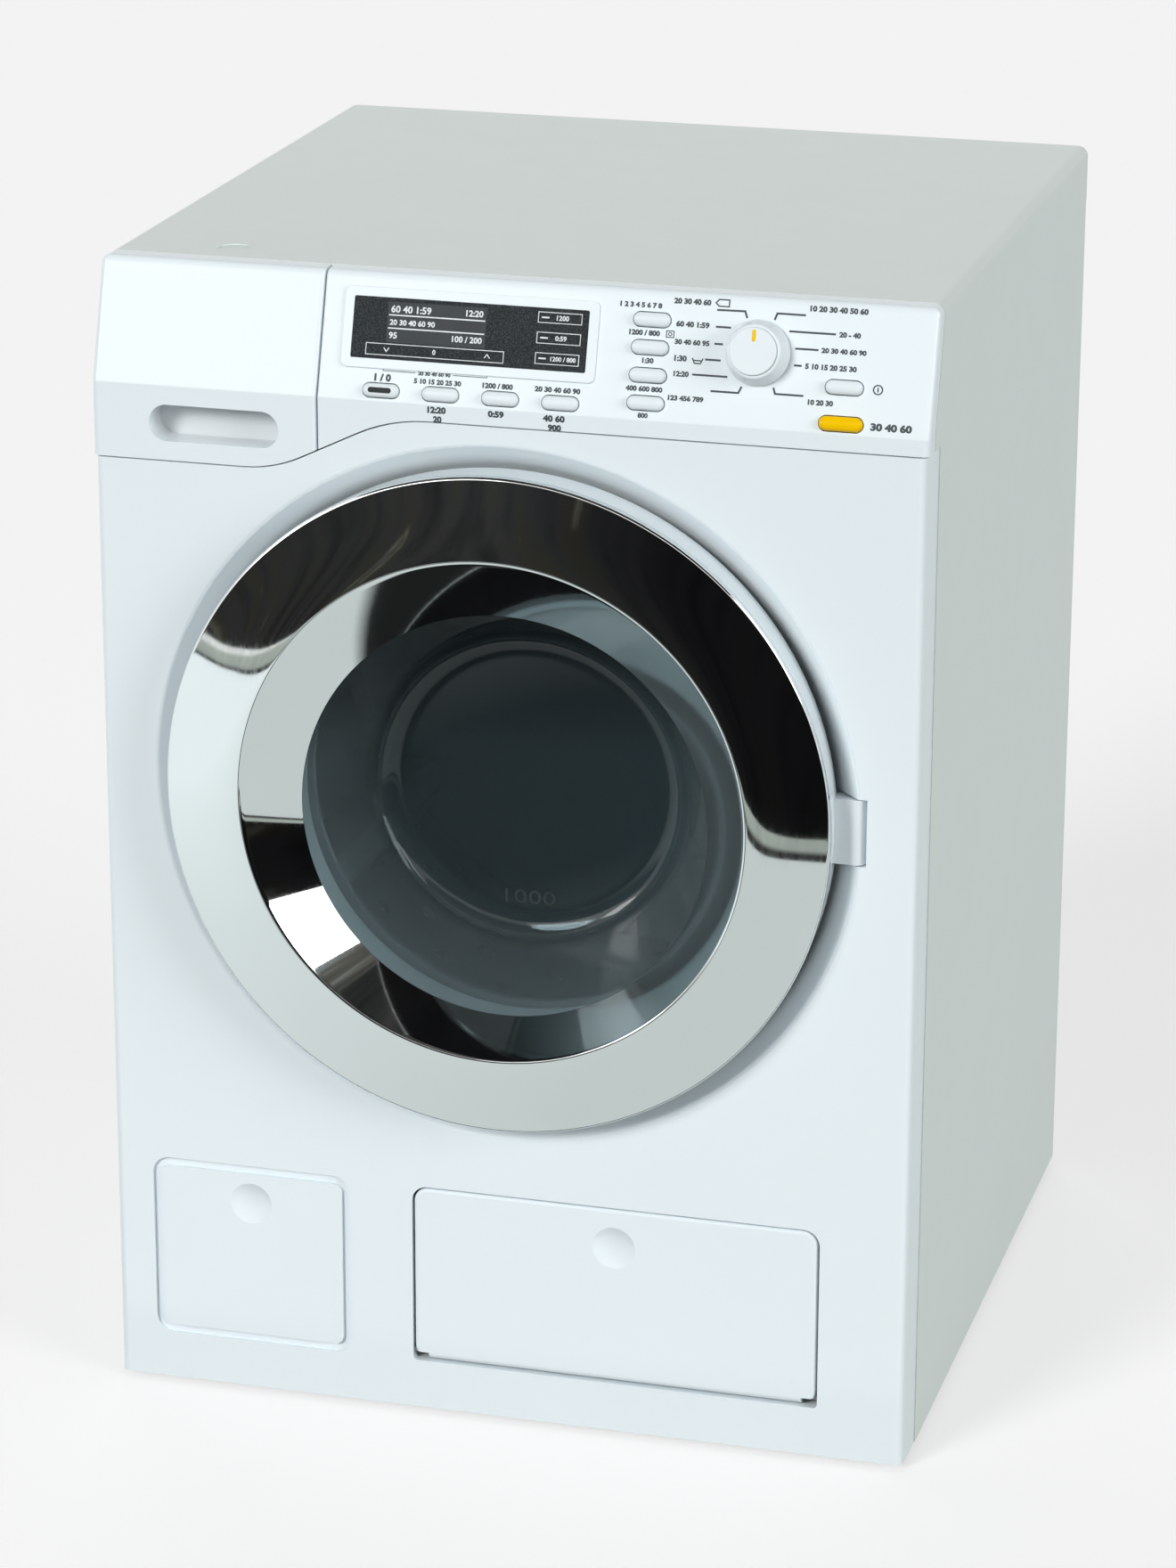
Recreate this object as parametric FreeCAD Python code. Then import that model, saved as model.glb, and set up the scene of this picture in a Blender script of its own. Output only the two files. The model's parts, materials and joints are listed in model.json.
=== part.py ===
import FreeCAD
import Part
import math
import os

# Toy front-loading washing machine. Millimetres, +Z up, front towards -Y,
# origin on the floor under the middle of the whole machine.

# Cabinet and covers
body_width = 185.0
body_depth = 183.0
body_height = 261.0
foot_stand = 1.5
cover_wall = 2.2
cabinet_step = 0.4
cabinet_edge_radius = 0.5
panel_step = 0.6
front_return = 12.7
skirt_height = 13.0
cheek_depth = 31.6
top_edge_radius = 2.4
front_edge_radius = 1.8
split_edge_radius = 0.8
back_edge_radius = 2.0
seam = 0.3
running_gap = 0.3
pin_clearance = 0.05
overrun = 2.0
match_tolerance = 0.005

# Feet, case screws and the moulding mark on the top
foot_radius = 7.0
foot_inset = 16.0
foot_edge_radius = 0.4
case_post_radius = 4.5
case_post_length = 14.0
case_post_inset = 9.0
screw_radius = 1.3
screw_head_radius = 2.4
screw_head_height = 1.5
screw_bite = 7.0
top_mark_radius = 3.7
top_mark_depth = 0.3
top_mark_inset = 25.8
top_mark_setback = 22.0

# Sloping control fascia, split from the drawer front
fascia_height = 26.2
slope_angle = 17.4
fascia_top_depth = 12.6
fascia_end_depth = 5.0
crease_radius = 1.2
fascia_top_radius = 2.0
drawer_split_x = -41.3
drawer_split_gap = 0.3

# Upper edge of the front panel: low on the left, sweeping up to the right, below the crease
panel_low_drop = 16.8
panel_high_drop = 3.9
sweep_start_inset = 34.5
sweep_low_radius = 30.0
sweep_high_radius = 36.0
sweep_angle = 26.0

# Round door recess below the panel's edge and the wash opening behind it
recess_side_margin = 13.2
recess_top_margin = 4.1
recess_depth = 6.7
recess_lip_radius = 1.2
opening_gap = 4.3
opening_drop = 4.1

# Door: white frame, bright ring with its funnel, dished window
ring_gap = 4.8
ring_stand = 7.6
ring_band = 17.9
ridge_stand = 11.0
funnel_width = 10.7
ring_wall = 1.8
ring_edge_radius = 0.7
window_flange_width = 4.3
window_flange_thickness = 1.6
bowl_wall = 1.8
bowl_depth = 25.0
bowl_taper = 11.3
bowl_corner_radius = 7.0
frame_inset = 0.8
frame_rim_wall = 1.8
frame_rim_gap = 0.4
frame_web = 1.8
frame_hole_gap = 0.6
door_post_radius = 3.0
door_post_inset = 10.5
door_post_root = 1.0
door_post_count = 4
door_post_start_angle = 45.0

# Door hinge and latch
hinge_inset = 1.3
hinge_barrel_radius = 2.5
hinge_lug_height = 14.6
hinge_arm_relief = 0.2
hinge_pin_radius = 0.8
hinge_pin_reach = 5.5
hinge_block_width = 10.5
hinge_block_depth = 9.0
hinge_block_height = 31.0
hook_inset = 13.8
hook_width = 3.5
hook_height = 8.0
hook_lead = 0.6
hook_barb = 1.2
hook_slot_gap = 2.5
latch_gap = 0.7
latch_thickness = 2.8
latch_bar_height = 4.0
latch_leg_offset = 8.5
latch_leg_width = 5.0
latch_leg_drop = 8.0
latch_nose_gap = 0.8
latch_nose_height = 6.0
latch_ramp_gap = 0.8
guide_width = 5.0
guide_wall = 1.6
guide_places_x = (48.0, -2.0)

# Rubber seal round the wash opening
seal_bead_width = 3.6
seal_face_gap = 0.4
seal_wall = 1.7
seal_reach = 1.0

# Wash tub and drum
tub_rim = 20.0
tub_wall = 2.0
tub_latch_gap = 1.6
drive_room = 61.0
tub_post_inset = 10.0
tub_post_radius = 3.5
tub_post_count = 4
drum_gap = 4.0
drum_wall = 1.6
drum_front_gap = 3.5
drum_back_gap = 8.0
drum_mouth_step = 2.0
drum_hole_radius = 1.9
drum_hole_rows = 6
drum_hole_columns = 24
drum_hole_margin = 12.0
lifter_count = 3
lifter_rise = 11.0
lifter_foot = 18.0
lifter_crest = 6.0
lifter_edge_radius = 2.0
lifter_end_gap = 6.0
lifter_seat_gap = 0.05

# Drive train behind the tub
shaft_radius = 4.0
shaft_flange_radius = 12.0
shaft_flange_thickness = 2.5
bush_wall = 2.0
bush_flange_radius = 9.0
bush_flange_thickness = 1.2
bush_inner_reach = 1.0
gear_module = 0.8
tooth_addendum_share = 0.8
tooth_dedendum_share = 1.1
tooth_play_share = 0.16
pressure_angle = 25.0
drum_teeth = 60
idler_small_teeth = 12
idler_large_teeth = 40
pinion_teeth = 10
flank_steps = 4
gear_gap = 3.0
gear_width = 6.0
idler_step = 1.2
pinion_width = 4.5
idler_angle = -90.0
motor_angle = 0.0
axle_radius = 1.5
plate_gap = 1.9
plate_thickness = 2.4
plate_side = 34.0
plate_motor_side = 46.0
plate_above = 32.0
plate_below = 58.0
plate_post_radius = 3.5
plate_post_inset = 5.0
motor_radius = 12.0
motor_flat = 9.6
motor_length = 30.0
motor_boss_radius = 3.4
motor_shaft_radius = 1.0
motor_shaft_inside = 20.0
shaft_end_margin = 0.6

# Keys on the sloping face: as shares of its length from the drawer, and up it from the crease
key_width = 8.0
key_height = 3.0
key_stand = 1.3
key_crown_radius = 0.5
key_gap = 0.2
key_travel = 1.0
key_flange_rim = 0.7
key_flange_thickness = 1.0
wide_key_width = 9.4
wide_key_height = 3.1
row_key_names = ("start_key", "fill_key", "wash_key", "drain_key")
row_key_share = 0.1066
row_key_pitch_share = 0.0988
row_key_up = 2.35
column_key_names = ("spin_key", "option_key_3", "option_key_2", "option_key_1")
column_key_share = 0.5413
column_key_up = 3.65
column_key_pitch = 5.85
power_key_share = 0.8571
power_key_up = 9.8
door_key_share = 0.8563
door_key_up = 2.2
plunger_width = 4.0
plunger_height = 2.0
plunger_reach = 10.4
plunger_gap = 0.8

# Display label plate
display_left_share = 0.0527
display_right_share = 0.4396
display_low = 9.1
display_high = 22.1
display_radius = 0.3
display_thickness = 0.9
display_gap = 0.1
display_frame_width = 2.2
display_frame_stand = 0.5

# Program knob with click wheel
knob_share = 0.7157
knob_up = 15.75
knob_base_radius = 7.05
knob_top_radius = 5.7
knob_cap_radius = 5.05
knob_height = 4.4
knob_cap_stand = 0.6
knob_cap_sink = 0.8
knob_stem_radius = 2.5
pointer_length = 2.6
pointer_width = 0.8
pointer_height = 0.5
click_wheel_radius = 6.0
click_notch_radius = 1.0
click_notches = 12
click_wheel_thickness = 1.6
click_spring_thickness = 0.5
click_spring_length = 8.0

# Circuit board and silicone key mat
board_end_gap = 0.6
board_side_gap = 8.5
board_low = 0.8
board_top_gap = 3.4
board_thickness = 1.6
mat_thickness = 1.0
board_post_radius = 1.8
board_post_inset = 2.6
board_post_low = 8.4
board_post_high = 19.0

# Detergent drawer
grip_inset = 23.3
grip_drop = 8.2
grip_width = 29.5
grip_tall = 8.1
grip_depth = 7.0
grip_wall = 1.5
tray_wall = 1.4
tray_rim_drop = 7.5
tray_length = 75.0
tray_divider_share = 0.5
housing_wall = 1.6
housing_latch_gap = 1.4
housing_front = 13.0
housing_back_gap = 3.0
housing_side_gap = 2.2

# Lower flaps: the left one is a moulded outline, the right one opens
flap_low = 12.0
flap_high = 53.8
flap_top_gap = 14.4
flap_left = -21.0
flap_side_inset = 20.7
flap_radius = 3.2
flap_foot_radius = 1.0
flap_thickness = 3.2
flap_edge_radius = 0.8
flap_gap = 0.5
flap_barrel_radius = 1.6
flap_pin_radius = 0.6
flap_pin_reach = 3.2
flap_ear_depth = 4.6
flap_ear_height = 5.0
dimple_radius = 4.9
dimple_depth = 1.2
dimple_drop = 9.1
mould_side_inset = 9.4
mould_right = -36.1
mould_low = 11.1
mould_top_rise = 0.7
mould_radius = 4.0
mould_groove_width = 2.0
mould_groove_depth = 0.9
bin_depth = 52.0
bin_wall = 1.6

# Batteries at the back, under a screwed cover
cell_radius = 13.0
cell_length = 50.0
cell_pitch = 27.2
cell_count = 3
cell_cap_radius = 3.2
cell_cap_height = 1.5
battery_box_low = 12.0
battery_box_wall = 1.6
battery_room = 1.0
contact_size = 9.0
contact_thickness = 0.6
battery_cover_rim = 1.5
battery_cover_gap = 0.3
battery_tab_width = 14.0
battery_tab_height = 9.0

# Loudspeaker behind a slotted patch of the back panel
speaker_side_inset = 40.5
speaker_drop = 43.0
speaker_radius = 17.0
speaker_rim_height = 3.0
speaker_magnet_radius = 9.0
speaker_magnet_height = 9.0
speaker_slots = 5
speaker_slot_pitch = 5.0
speaker_slot_width = 2.0
speaker_slot_length = 22.0

# Outer planes
half_width = body_width / 2
panel_half = half_width - panel_step
back_y = (body_depth + ridge_stand) / 2
front_y = back_y - body_depth
base_z = foot_stand
top_z = base_z + body_height
skirt_z = top_z - skirt_height
crease_z = top_z - fascia_height
panel_low_z = crease_z - panel_low_drop
panel_high_z = crease_z - panel_high_drop
sweep_start_x = sweep_start_inset - half_width
slope = math.radians(slope_angle)
slope_run = fascia_height * math.tan(slope)
slope_length = fascia_height / math.cos(slope)
fascia_left = drawer_split_x + drawer_split_gap / 2
fascia_length = half_width - fascia_left
drawer_right = drawer_split_x - drawer_split_gap / 2
flap_low_z = base_z + flap_low
flap_high_z = base_z + flap_high

# Round parts, from the recess inwards: it fills the room between the sides, fascia and flaps
recess_height = panel_high_z - recess_top_margin - flap_high_z - flap_top_gap
recess_radius = min(half_width - recess_side_margin, recess_height / 2)
door_z = panel_high_z - recess_top_margin - recess_radius
wash_z = door_z - opening_drop
ring_radius = recess_radius - ring_gap
ridge_radius = ring_radius - ring_band
window_radius = ridge_radius - funnel_width
bowl_end_radius = window_radius - bowl_taper
opening_radius = window_radius + bowl_wall + opening_gap
door_post_circle = ring_radius - door_post_inset
tub_radius = opening_radius + tub_rim
tub_post_circle = tub_radius - tub_post_inset
drum_radius = tub_radius - tub_wall - drum_gap
drum_mouth_radius = opening_radius - drum_mouth_step

# Distances behind the front panel
frame_back = window_flange_thickness + frame_web
seal_bead_front = frame_back + seal_face_gap
latch_front = recess_depth + cover_wall + latch_gap
latch_back = latch_front + latch_thickness
hook_depth = latch_back + hook_lead
tub_front = latch_back + tub_latch_gap
tub_back = body_depth - drive_room
seal_back = tub_front + seal_reach
drum_front = tub_front + tub_wall + drum_front_gap
drum_back = tub_back - tub_wall - drum_back_gap
gear_start = tub_back + gear_gap
large_start = gear_start + gear_width + idler_step
large_end = large_start + pinion_width
plate_start = large_end + plate_gap
plate_end = plate_start + plate_thickness

# Places of the hinge, the latch, the drawer and the flaps
hinge_x = recess_radius - hinge_inset
hook_x = hook_inset - recess_radius
latch_leg_x = hook_x - latch_leg_offset
latch_bar_low = panel_high_z
latch_bar_high = latch_bar_low + latch_bar_height
tray_floor = latch_bar_high + housing_latch_gap + housing_wall + running_gap
tray_high = top_z - tray_rim_drop
grip_x = drawer_split_x - grip_inset
grip_z = crease_z - grip_drop
flap_right = half_width - flap_side_inset
mould_left = mould_side_inset - half_width
mould_low_z = base_z + mould_low
mould_high_z = flap_high_z + mould_top_rise

# Places on the sloping face, and depths behind it
row_key_x = fascia_left + row_key_share * fascia_length
row_key_pitch = row_key_pitch_share * fascia_length
column_key_x = fascia_left + column_key_share * fascia_length
power_key_x = fascia_left + power_key_share * fascia_length
door_key_x = fascia_left + door_key_share * fascia_length
display_left = fascia_left + display_left_share * fascia_length
display_right = fascia_left + display_right_share * fascia_length
knob_x = fascia_left + knob_share * fascia_length
board_left = fascia_left + cover_wall + board_end_gap
board_right = half_width - board_side_gap
board_high = slope_length - board_top_gap
mat_start = cover_wall + running_gap + key_flange_thickness + key_travel + running_gap
mat_end = mat_start + mat_thickness
board_end = mat_end + board_thickness
wheel_start = cover_wall + running_gap
wheel_end = wheel_start + click_wheel_thickness

# Gear centres
idler_distance = gear_module * (drum_teeth + idler_small_teeth) / 2
motor_distance = gear_module * (idler_large_teeth + pinion_teeth) / 2
idler_x = idler_distance * math.cos(math.radians(idler_angle))
idler_z = wash_z + idler_distance * math.sin(math.radians(idler_angle))
motor_x = idler_x + motor_distance * math.cos(math.radians(motor_angle))
motor_z = idler_z + motor_distance * math.sin(math.radians(motor_angle))

# Battery room and speaker on the back panel
panel_front = back_y - cover_wall
battery_half = cell_pitch * (cell_count - 1) / 2 + cell_radius + battery_room
battery_low = base_z + battery_box_low
battery_high = battery_low + cell_length + cell_cap_height + 2 * contact_thickness + battery_room
battery_front = panel_front - 2 * cell_radius - battery_room
cell_axis_y = battery_front + cell_radius
battery_screw_z = battery_high + battery_tab_height / 2
speaker_x = half_width - speaker_side_inset
speaker_z = skirt_z - speaker_drop


def vec(x, y, z):
    return FreeCAD.Vector(x, y, z)


def deep(distance):
    """y of a plane that lies this far behind the front panel"""
    return front_y + distance


def block(x0, x1, y0, y1, z0, z1):
    return Part.makeBox(x1 - x0, y1 - y0, z1 - z0, vec(x0, y0, z0))


def rod(radius, start, end):
    axis = end - start
    return Part.makeCylinder(radius, axis.Length, start, axis)


def rod_y(radius, x, z, y0, y1):
    return rod(radius, vec(x, y0, z), vec(x, y1, z))


def joined(shapes):
    """one solid of all the shapes, with flat seams merged where that leaves it sound"""
    whole = shapes[0].fuse(shapes[1:])
    merged = whole.removeSplitter()
    return merged if merged.isValid() else whole


def round_rect(x0, x1, z0, z1, radius, y):
    """wire of a rectangle with round corners, standing in the plane at y"""
    bulge = radius * (1 - math.cos(math.pi / 4))
    corners = ((x1, z0, -1, 1), (x1, z1, -1, -1), (x0, z1, 1, -1), (x0, z0, 1, 1))
    arcs = []
    for index, (x, z, sx, sz) in enumerate(corners):
        along_x = vec(x + sx * radius, y, z)
        along_z = vec(x, y, z + sz * radius)
        middle = vec(x + sx * bulge, y, z + sz * bulge)
        first, last = (along_x, along_z) if index % 2 == 0 else (along_z, along_x)
        arcs.append((first, middle, last))
    edges = []
    for index, (first, middle, last) in enumerate(arcs):
        edges.append(Part.Arc(first, middle, last).toShape())
        following = arcs[(index + 1) % len(arcs)][0]
        if (following - last).Length > pin_clearance:
            edges.append(Part.LineSegment(last, following).toShape())
    return Part.Wire(edges)


def slab(x0, x1, z0, z1, radius, y0, y1):
    """plate with round corners between two depths"""
    return Part.Face(round_rect(x0, x1, z0, z1, radius, y0)).extrude(vec(0, y1 - y0, 0))


def pill(x, z, width, height, y0, y1):
    half_w = width / 2
    half_h = height / 2
    body = block(x - half_w + half_h, x + half_w - half_h, y0, y1, z - half_h, z + half_h)
    ends = [rod_y(half_h, x + side * (half_w - half_h), z, y0, y1) for side in (-1, 1)]
    return joined([body] + ends)


def turned(outline, x, z):
    """solid turned about the front-to-back line through x, z from (radius, y) corners"""
    points = [vec(x + radius, y, z) for radius, y in outline]
    face = Part.Face(Part.makePolygon(points + points[:1]))
    return face.revolve(vec(x, 0, z), vec(0, 1, 0), 360)


def prism_x(outline, x0, x1):
    """solid of constant (y, z) section from x0 to x1"""
    points = [vec(x0, y, z) for y, z in outline]
    return Part.Face(Part.makePolygon(points + points[:1])).extrude(vec(x1 - x0, 0, 0))


def edges_where(shape, test):
    return [edge for edge in shape.Edges if test(edge)]


def same(a, b):
    return abs(a - b) < match_tolerance


def round_edges(shape, radius, test):
    return shape.makeFillet(radius, edges_where(shape, test))


def edge_box_is(edge, **planes):
    """true where the edge lies flat in every named plane, such as x=..., z=..."""
    box = edge.BoundBox
    spans = {"x": (box.XMin, box.XMax), "y": (box.YMin, box.YMax), "z": (box.ZMin, box.ZMax)}
    return all(same(value, end) for axis, value in planes.items() for end in spans[axis])


def on_slope(shape):
    """moves a piece modelled on an upright face at y 0, z 0 onto the sloping fascia"""
    moved = shape.copy()
    moved.rotate(vec(0, 0, 0), vec(1, 0, 0), -slope_angle)
    moved.translate(vec(0, front_y, crease_z))
    return moved


def circle_places(count, radius, start_angle, x, z):
    angles = [math.radians(start_angle + 360 * i / count) for i in range(count)]
    return [(x + radius * math.cos(a), z + radius * math.sin(a)) for a in angles]


def screw(x, z, head_y, inward):
    """pan-head screw along Y with its head seat at head_y"""
    head = rod_y(screw_head_radius, x, z, head_y - inward * screw_head_height, head_y)
    return joined([head, rod_y(screw_radius, x, z, head_y, head_y + inward * screw_bite)])


def screw_hole(x, z, y0, y1):
    return rod_y(screw_radius + pin_clearance, x, z, y0, y1)


def sunk_head(x, z, grow):
    """countersunk screw head, flush with the back"""
    return Part.makeCone(
        screw_head_radius + grow, screw_radius + grow, cover_wall / 2, vec(x, back_y, z), vec(0, -1, 0)
    )


def back_screw(x, z):
    shank = rod_y(screw_radius, x, z, back_y - screw_bite, back_y - cover_wall / 2)
    return joined([sunk_head(x, z, 0), shank])


def panel_edge_region(raise_by):
    """everything below the swept upper edge of the front panel"""
    low = panel_low_z + raise_by
    high = panel_high_z + raise_by
    turn = math.radians(sweep_angle)
    r_low = sweep_low_radius - raise_by
    r_high = sweep_high_radius + raise_by
    straight = (high - low - (r_low + r_high) * (1 - math.cos(turn))) / math.sin(turn)

    def on_low(angle):
        return vec(sweep_start_x + r_low * math.sin(angle), front_y, low + r_low * (1 - math.cos(angle)))

    low_end = on_low(turn)
    run_end = low_end + vec(straight * math.cos(turn), 0, straight * math.sin(turn))
    level_x = run_end.x + r_high * math.sin(turn)

    def on_high(angle):
        return vec(level_x - r_high * math.sin(angle), front_y, high - r_high * (1 - math.cos(angle)))

    left = -half_width - overrun
    right = half_width + overrun
    floor_z = base_z - overrun
    left_top = vec(left, front_y, low)
    right_top = vec(right, front_y, high)
    level_end = vec(level_x, front_y, high)
    corners = [right_top, vec(right, front_y, floor_z), vec(left, front_y, floor_z), left_top, on_low(0)]
    edges = [Part.LineSegment(a, b).toShape() for a, b in zip(corners, corners[1:])]
    edges.append(Part.Arc(on_low(0), on_low(turn / 2), low_end).toShape())
    edges.append(Part.LineSegment(low_end, run_end).toShape())
    edges.append(Part.Arc(run_end, on_high(turn / 2), level_end).toShape())
    edges.append(Part.LineSegment(level_end, right_top).toShape())
    face = Part.Face(Part.Wire(edges))
    face.translate(vec(0, -overrun, 0))
    return face.extrude(vec(0, front_return + 2 * overrun, 0))


def fascia_rear_region(gap):
    """everything ahead of the line where the fascia's ends meet the sides and top"""
    lean = (fascia_top_depth - fascia_end_depth) / fascia_height
    high = top_z + overrun
    outline = (
        (front_y - overrun, base_z - overrun),
        (deep(fascia_end_depth) + gap, base_z - overrun),
        (deep(fascia_end_depth) + gap, crease_z),
        (deep(fascia_top_depth) + gap + lean * overrun, high),
        (front_y - overrun, high),
    )
    return prism_x(outline, -half_width - overrun, half_width + overrun)


def cheek_region(gap):
    """everything ahead of the slanting line where the top cover's cheeks meet the cabinet"""
    outline = (
        (front_y - overrun, base_z - overrun),
        (deep(front_return) - gap, base_z - overrun),
        (deep(front_return) - gap, panel_high_z),
        (deep(cheek_depth) - gap, skirt_z),
        (front_y - overrun, skirt_z),
    )
    return prism_x(outline, -half_width - overrun, half_width + overrun)


def fascia_cavity(x0, x1):
    """room behind the fascia's wall"""
    inner_crease = crease_z - cover_wall * math.tan(slope / 2)
    inner_top = top_z - cover_wall
    inner_run = cover_wall / math.cos(slope) + (inner_top - crease_z) * math.tan(slope)
    outline = (
        (deep(cover_wall), base_z),
        (deep(cover_wall), inner_crease),
        (deep(inner_run), inner_top),
        (back_y, inner_top),
        (back_y, base_z),
    )
    return prism_x(outline, x0, x1)


def side_edge(edge, half, z):
    """true for the level edges along both sides"""
    return edge_box_is(edge, x=half, z=z) or edge_box_is(edge, x=-half, z=z)


def top_outline():
    """the machine's full width and height with the round edges along its top"""
    body = block(-half_width, half_width, front_y, back_y, base_z, top_z)
    return round_edges(body, top_edge_radius, lambda e: side_edge(e, half_width, top_z))


def fascia_shell(x0, x1):
    """length of the sloping front with closed, rounded ends, down to the front panel's edge"""
    low = panel_low_z
    rear = deep(2 * fascia_top_depth)
    outline = ((front_y, low), (front_y, crease_z), (deep(slope_run), top_z), (rear, top_z), (rear, low))
    solid = prism_x(outline, x0, x1)
    solid = round_edges(solid, fascia_top_radius, lambda e: edge_box_is(e, y=deep(slope_run), z=top_z))
    solid = round_edges(solid, crease_radius, lambda e: edge_box_is(e, y=front_y, z=crease_z))

    def end_edge(edge, x):
        return edge_box_is(edge, x=x) and edge.BoundBox.YMax < rear - overrun and not edge_box_is(edge, z=low)

    for x in (x0, x1):
        radius = front_edge_radius if same(abs(x), half_width) else split_edge_radius
        solid = round_edges(solid, radius, lambda e: end_edge(e, x))
    solid = solid.common(top_outline()).common(fascia_rear_region(0))
    solid = solid.cut(fascia_cavity(x0 + cover_wall, x1 - cover_wall))
    return solid.cut(panel_edge_region(seam))


def key_table():
    """name, place across, place up, width, height of each key"""
    rows = [(n, row_key_x + i * row_key_pitch, row_key_up) for i, n in enumerate(row_key_names)]
    rows += [
        (n, column_key_x, column_key_up + i * column_key_pitch) for i, n in enumerate(column_key_names)
    ]
    rows.append(("power_key", power_key_x, power_key_up))
    keys = [(name, x, up, key_width, key_height) for name, x, up in rows]
    keys.append(("door_key", door_key_x, door_key_up, wide_key_width, wide_key_height))
    return keys


def board_post_places():
    sides = (board_left + board_post_inset, board_right - board_post_inset)
    return [(x, up) for x in sides for up in (board_post_low, board_post_high)]


# Outer shell

def make_cabinet():
    """both sides and the bottom, with posts for the back panel's screws"""
    outer = half_width - cabinet_step
    inner = outer - cover_wall
    shell = block(-outer, outer, deep(front_return), back_y, base_z, skirt_z)
    shell = round_edges(shell, cabinet_edge_radius, lambda e: side_edge(e, outer, skirt_z))
    room = block(-inner, inner, front_y, back_y + overrun, base_z + cover_wall, skirt_z + overrun)
    shell = shell.cut(room).cut(cheek_region(0))
    posts = []
    for x, z in case_screw_places():
        side = 1 if x > 0 else -1
        post = rod_y(case_post_radius, x, z, panel_front - case_post_length, panel_front)
        web = block(
            min(x, side * inner), max(x, side * inner), panel_front - case_post_length, panel_front,
            z - case_post_radius / 2, z + case_post_radius / 2,
        )
        posts += [post, web]
    shell = joined([shell] + posts)
    for x, z in case_screw_places():
        shell = shell.cut(screw_hole(x, z, panel_front - screw_bite - pin_clearance, panel_front + overrun))
    return shell


def case_screw_places():
    outer = half_width - cabinet_step - cover_wall
    low = base_z + cover_wall + case_post_inset
    high = skirt_z - case_post_inset
    return [(side * (outer - case_post_inset), z) for side in (-1, 1) for z in (low, high)]


def make_back_panel():
    inner = half_width - cabinet_step - cover_wall - seam
    panel = block(-inner, inner, panel_front, back_y, base_z + cover_wall + seam, skirt_z)
    for x, z in case_screw_places():
        panel = panel.cut(screw_hole(x, z, panel_front - overrun, back_y + overrun))
        panel = panel.cut(sunk_head(x, z, pin_clearance))
    behind = back_y + overrun
    panel = panel.cut(
        block(-battery_half, battery_half, panel_front - overrun, behind, battery_low, battery_high)
    )
    tab = battery_tab_width / 2
    notch = block(-tab, tab, back_y - cover_wall / 2, behind,
                  battery_high - overrun, battery_high + battery_tab_height)
    boss = rod_y(case_post_radius, 0, battery_screw_z, panel_front - screw_bite, panel_front)
    panel = joined([panel.cut(notch), boss])
    panel = panel.cut(screw_hole(0, battery_screw_z, panel_front - screw_bite - overrun, behind))
    start = -(speaker_slots - 1) / 2
    for index in range(speaker_slots):
        z = speaker_z + (start + index) * speaker_slot_pitch
        slot = pill(speaker_x, z, speaker_slot_length, speaker_slot_width, panel_front - overrun, behind)
        panel = panel.cut(slot)
    return panel


def make_top_cover():
    """lid with a skirt, and a cheek on each side down to the front panel's edge"""
    skirt = block(-half_width, half_width, front_y, back_y, skirt_z, top_z)
    cover = skirt.common(top_outline())
    cover = round_edges(cover, back_edge_radius, lambda e: edge_box_is(e, y=back_y, z=top_z))
    cheeks = block(-half_width, half_width, front_y, deep(cheek_depth), panel_low_z, skirt_z)
    cheeks = cheeks.common(cheek_region(seam)).cut(panel_edge_region(seam))
    inner = half_width - cover_wall
    low = panel_low_z - overrun
    room = block(-inner, inner, front_y - overrun, back_y - cover_wall, low, top_z - cover_wall)
    cover = joined([cover, cheeks]).cut(room).cut(fascia_rear_region(seam))
    mark = vec(top_mark_inset - half_width, deep(top_mark_setback), top_z)
    return cover.cut(rod(top_mark_radius, mark - vec(0, 0, top_mark_depth), mark + vec(0, 0, overrun)))


def dimple(x, z, y):
    """ball that leaves a round finger dent of the stated radius and depth"""
    ball = (dimple_radius ** 2 + dimple_depth ** 2) / (2 * dimple_depth)
    return Part.makeSphere(ball, vec(x, y - ball + dimple_depth, z))


def hinge_pocket():
    """room in the recess for the door's hinge lug"""
    half = hinge_lug_height / 2 + running_gap
    y = deep(hinge_barrel_radius)
    swing = hinge_barrel_radius + running_gap
    barrel = rod(swing, vec(hinge_x, y, door_z - half), vec(hinge_x, y, door_z + half))
    inside = recess_radius - 2 * recess_depth
    room = block(inside, hinge_x, front_y - overrun, y + swing, door_z - half, door_z + half)
    mouth = block(inside, hinge_x + swing, front_y - overrun, y, door_z - half, door_z + half)
    return barrel.fuse([room, mouth])


def tub_post_places():
    return circle_places(tub_post_count, tub_post_circle, door_post_start_angle, 0, wash_z)


def guide(x):
    """hook behind the front panel that carries the latch bar"""
    start = deep(cover_wall) - seam
    keeper_front = deep(latch_back) + running_gap
    keeper_back = keeper_front + guide_wall
    seat_top = latch_bar_low - running_gap
    seat_low = seat_top - guide_wall
    end = x + guide_width
    seat = block(x, end, start, keeper_back, seat_low, seat_top)
    keeper = block(x, end, keeper_front, keeper_back, seat_low, latch_bar_high)
    foot = block(x, end, start, deep(cover_wall) + guide_wall, panel_high_z - guide_width, seat_top)
    return joined([seat, keeper, foot])


def flap_opening(y0, y1):
    left = flap_left - flap_gap
    right = flap_right + flap_gap
    low = flap_low_z - flap_gap
    high = flap_high_z + flap_gap
    whole = slab(left, right, low, high, flap_radius + flap_gap, y0, y1)
    return whole.fuse(slab(left, right, low, (low + high) / 2, flap_foot_radius, y0, y1))


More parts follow.
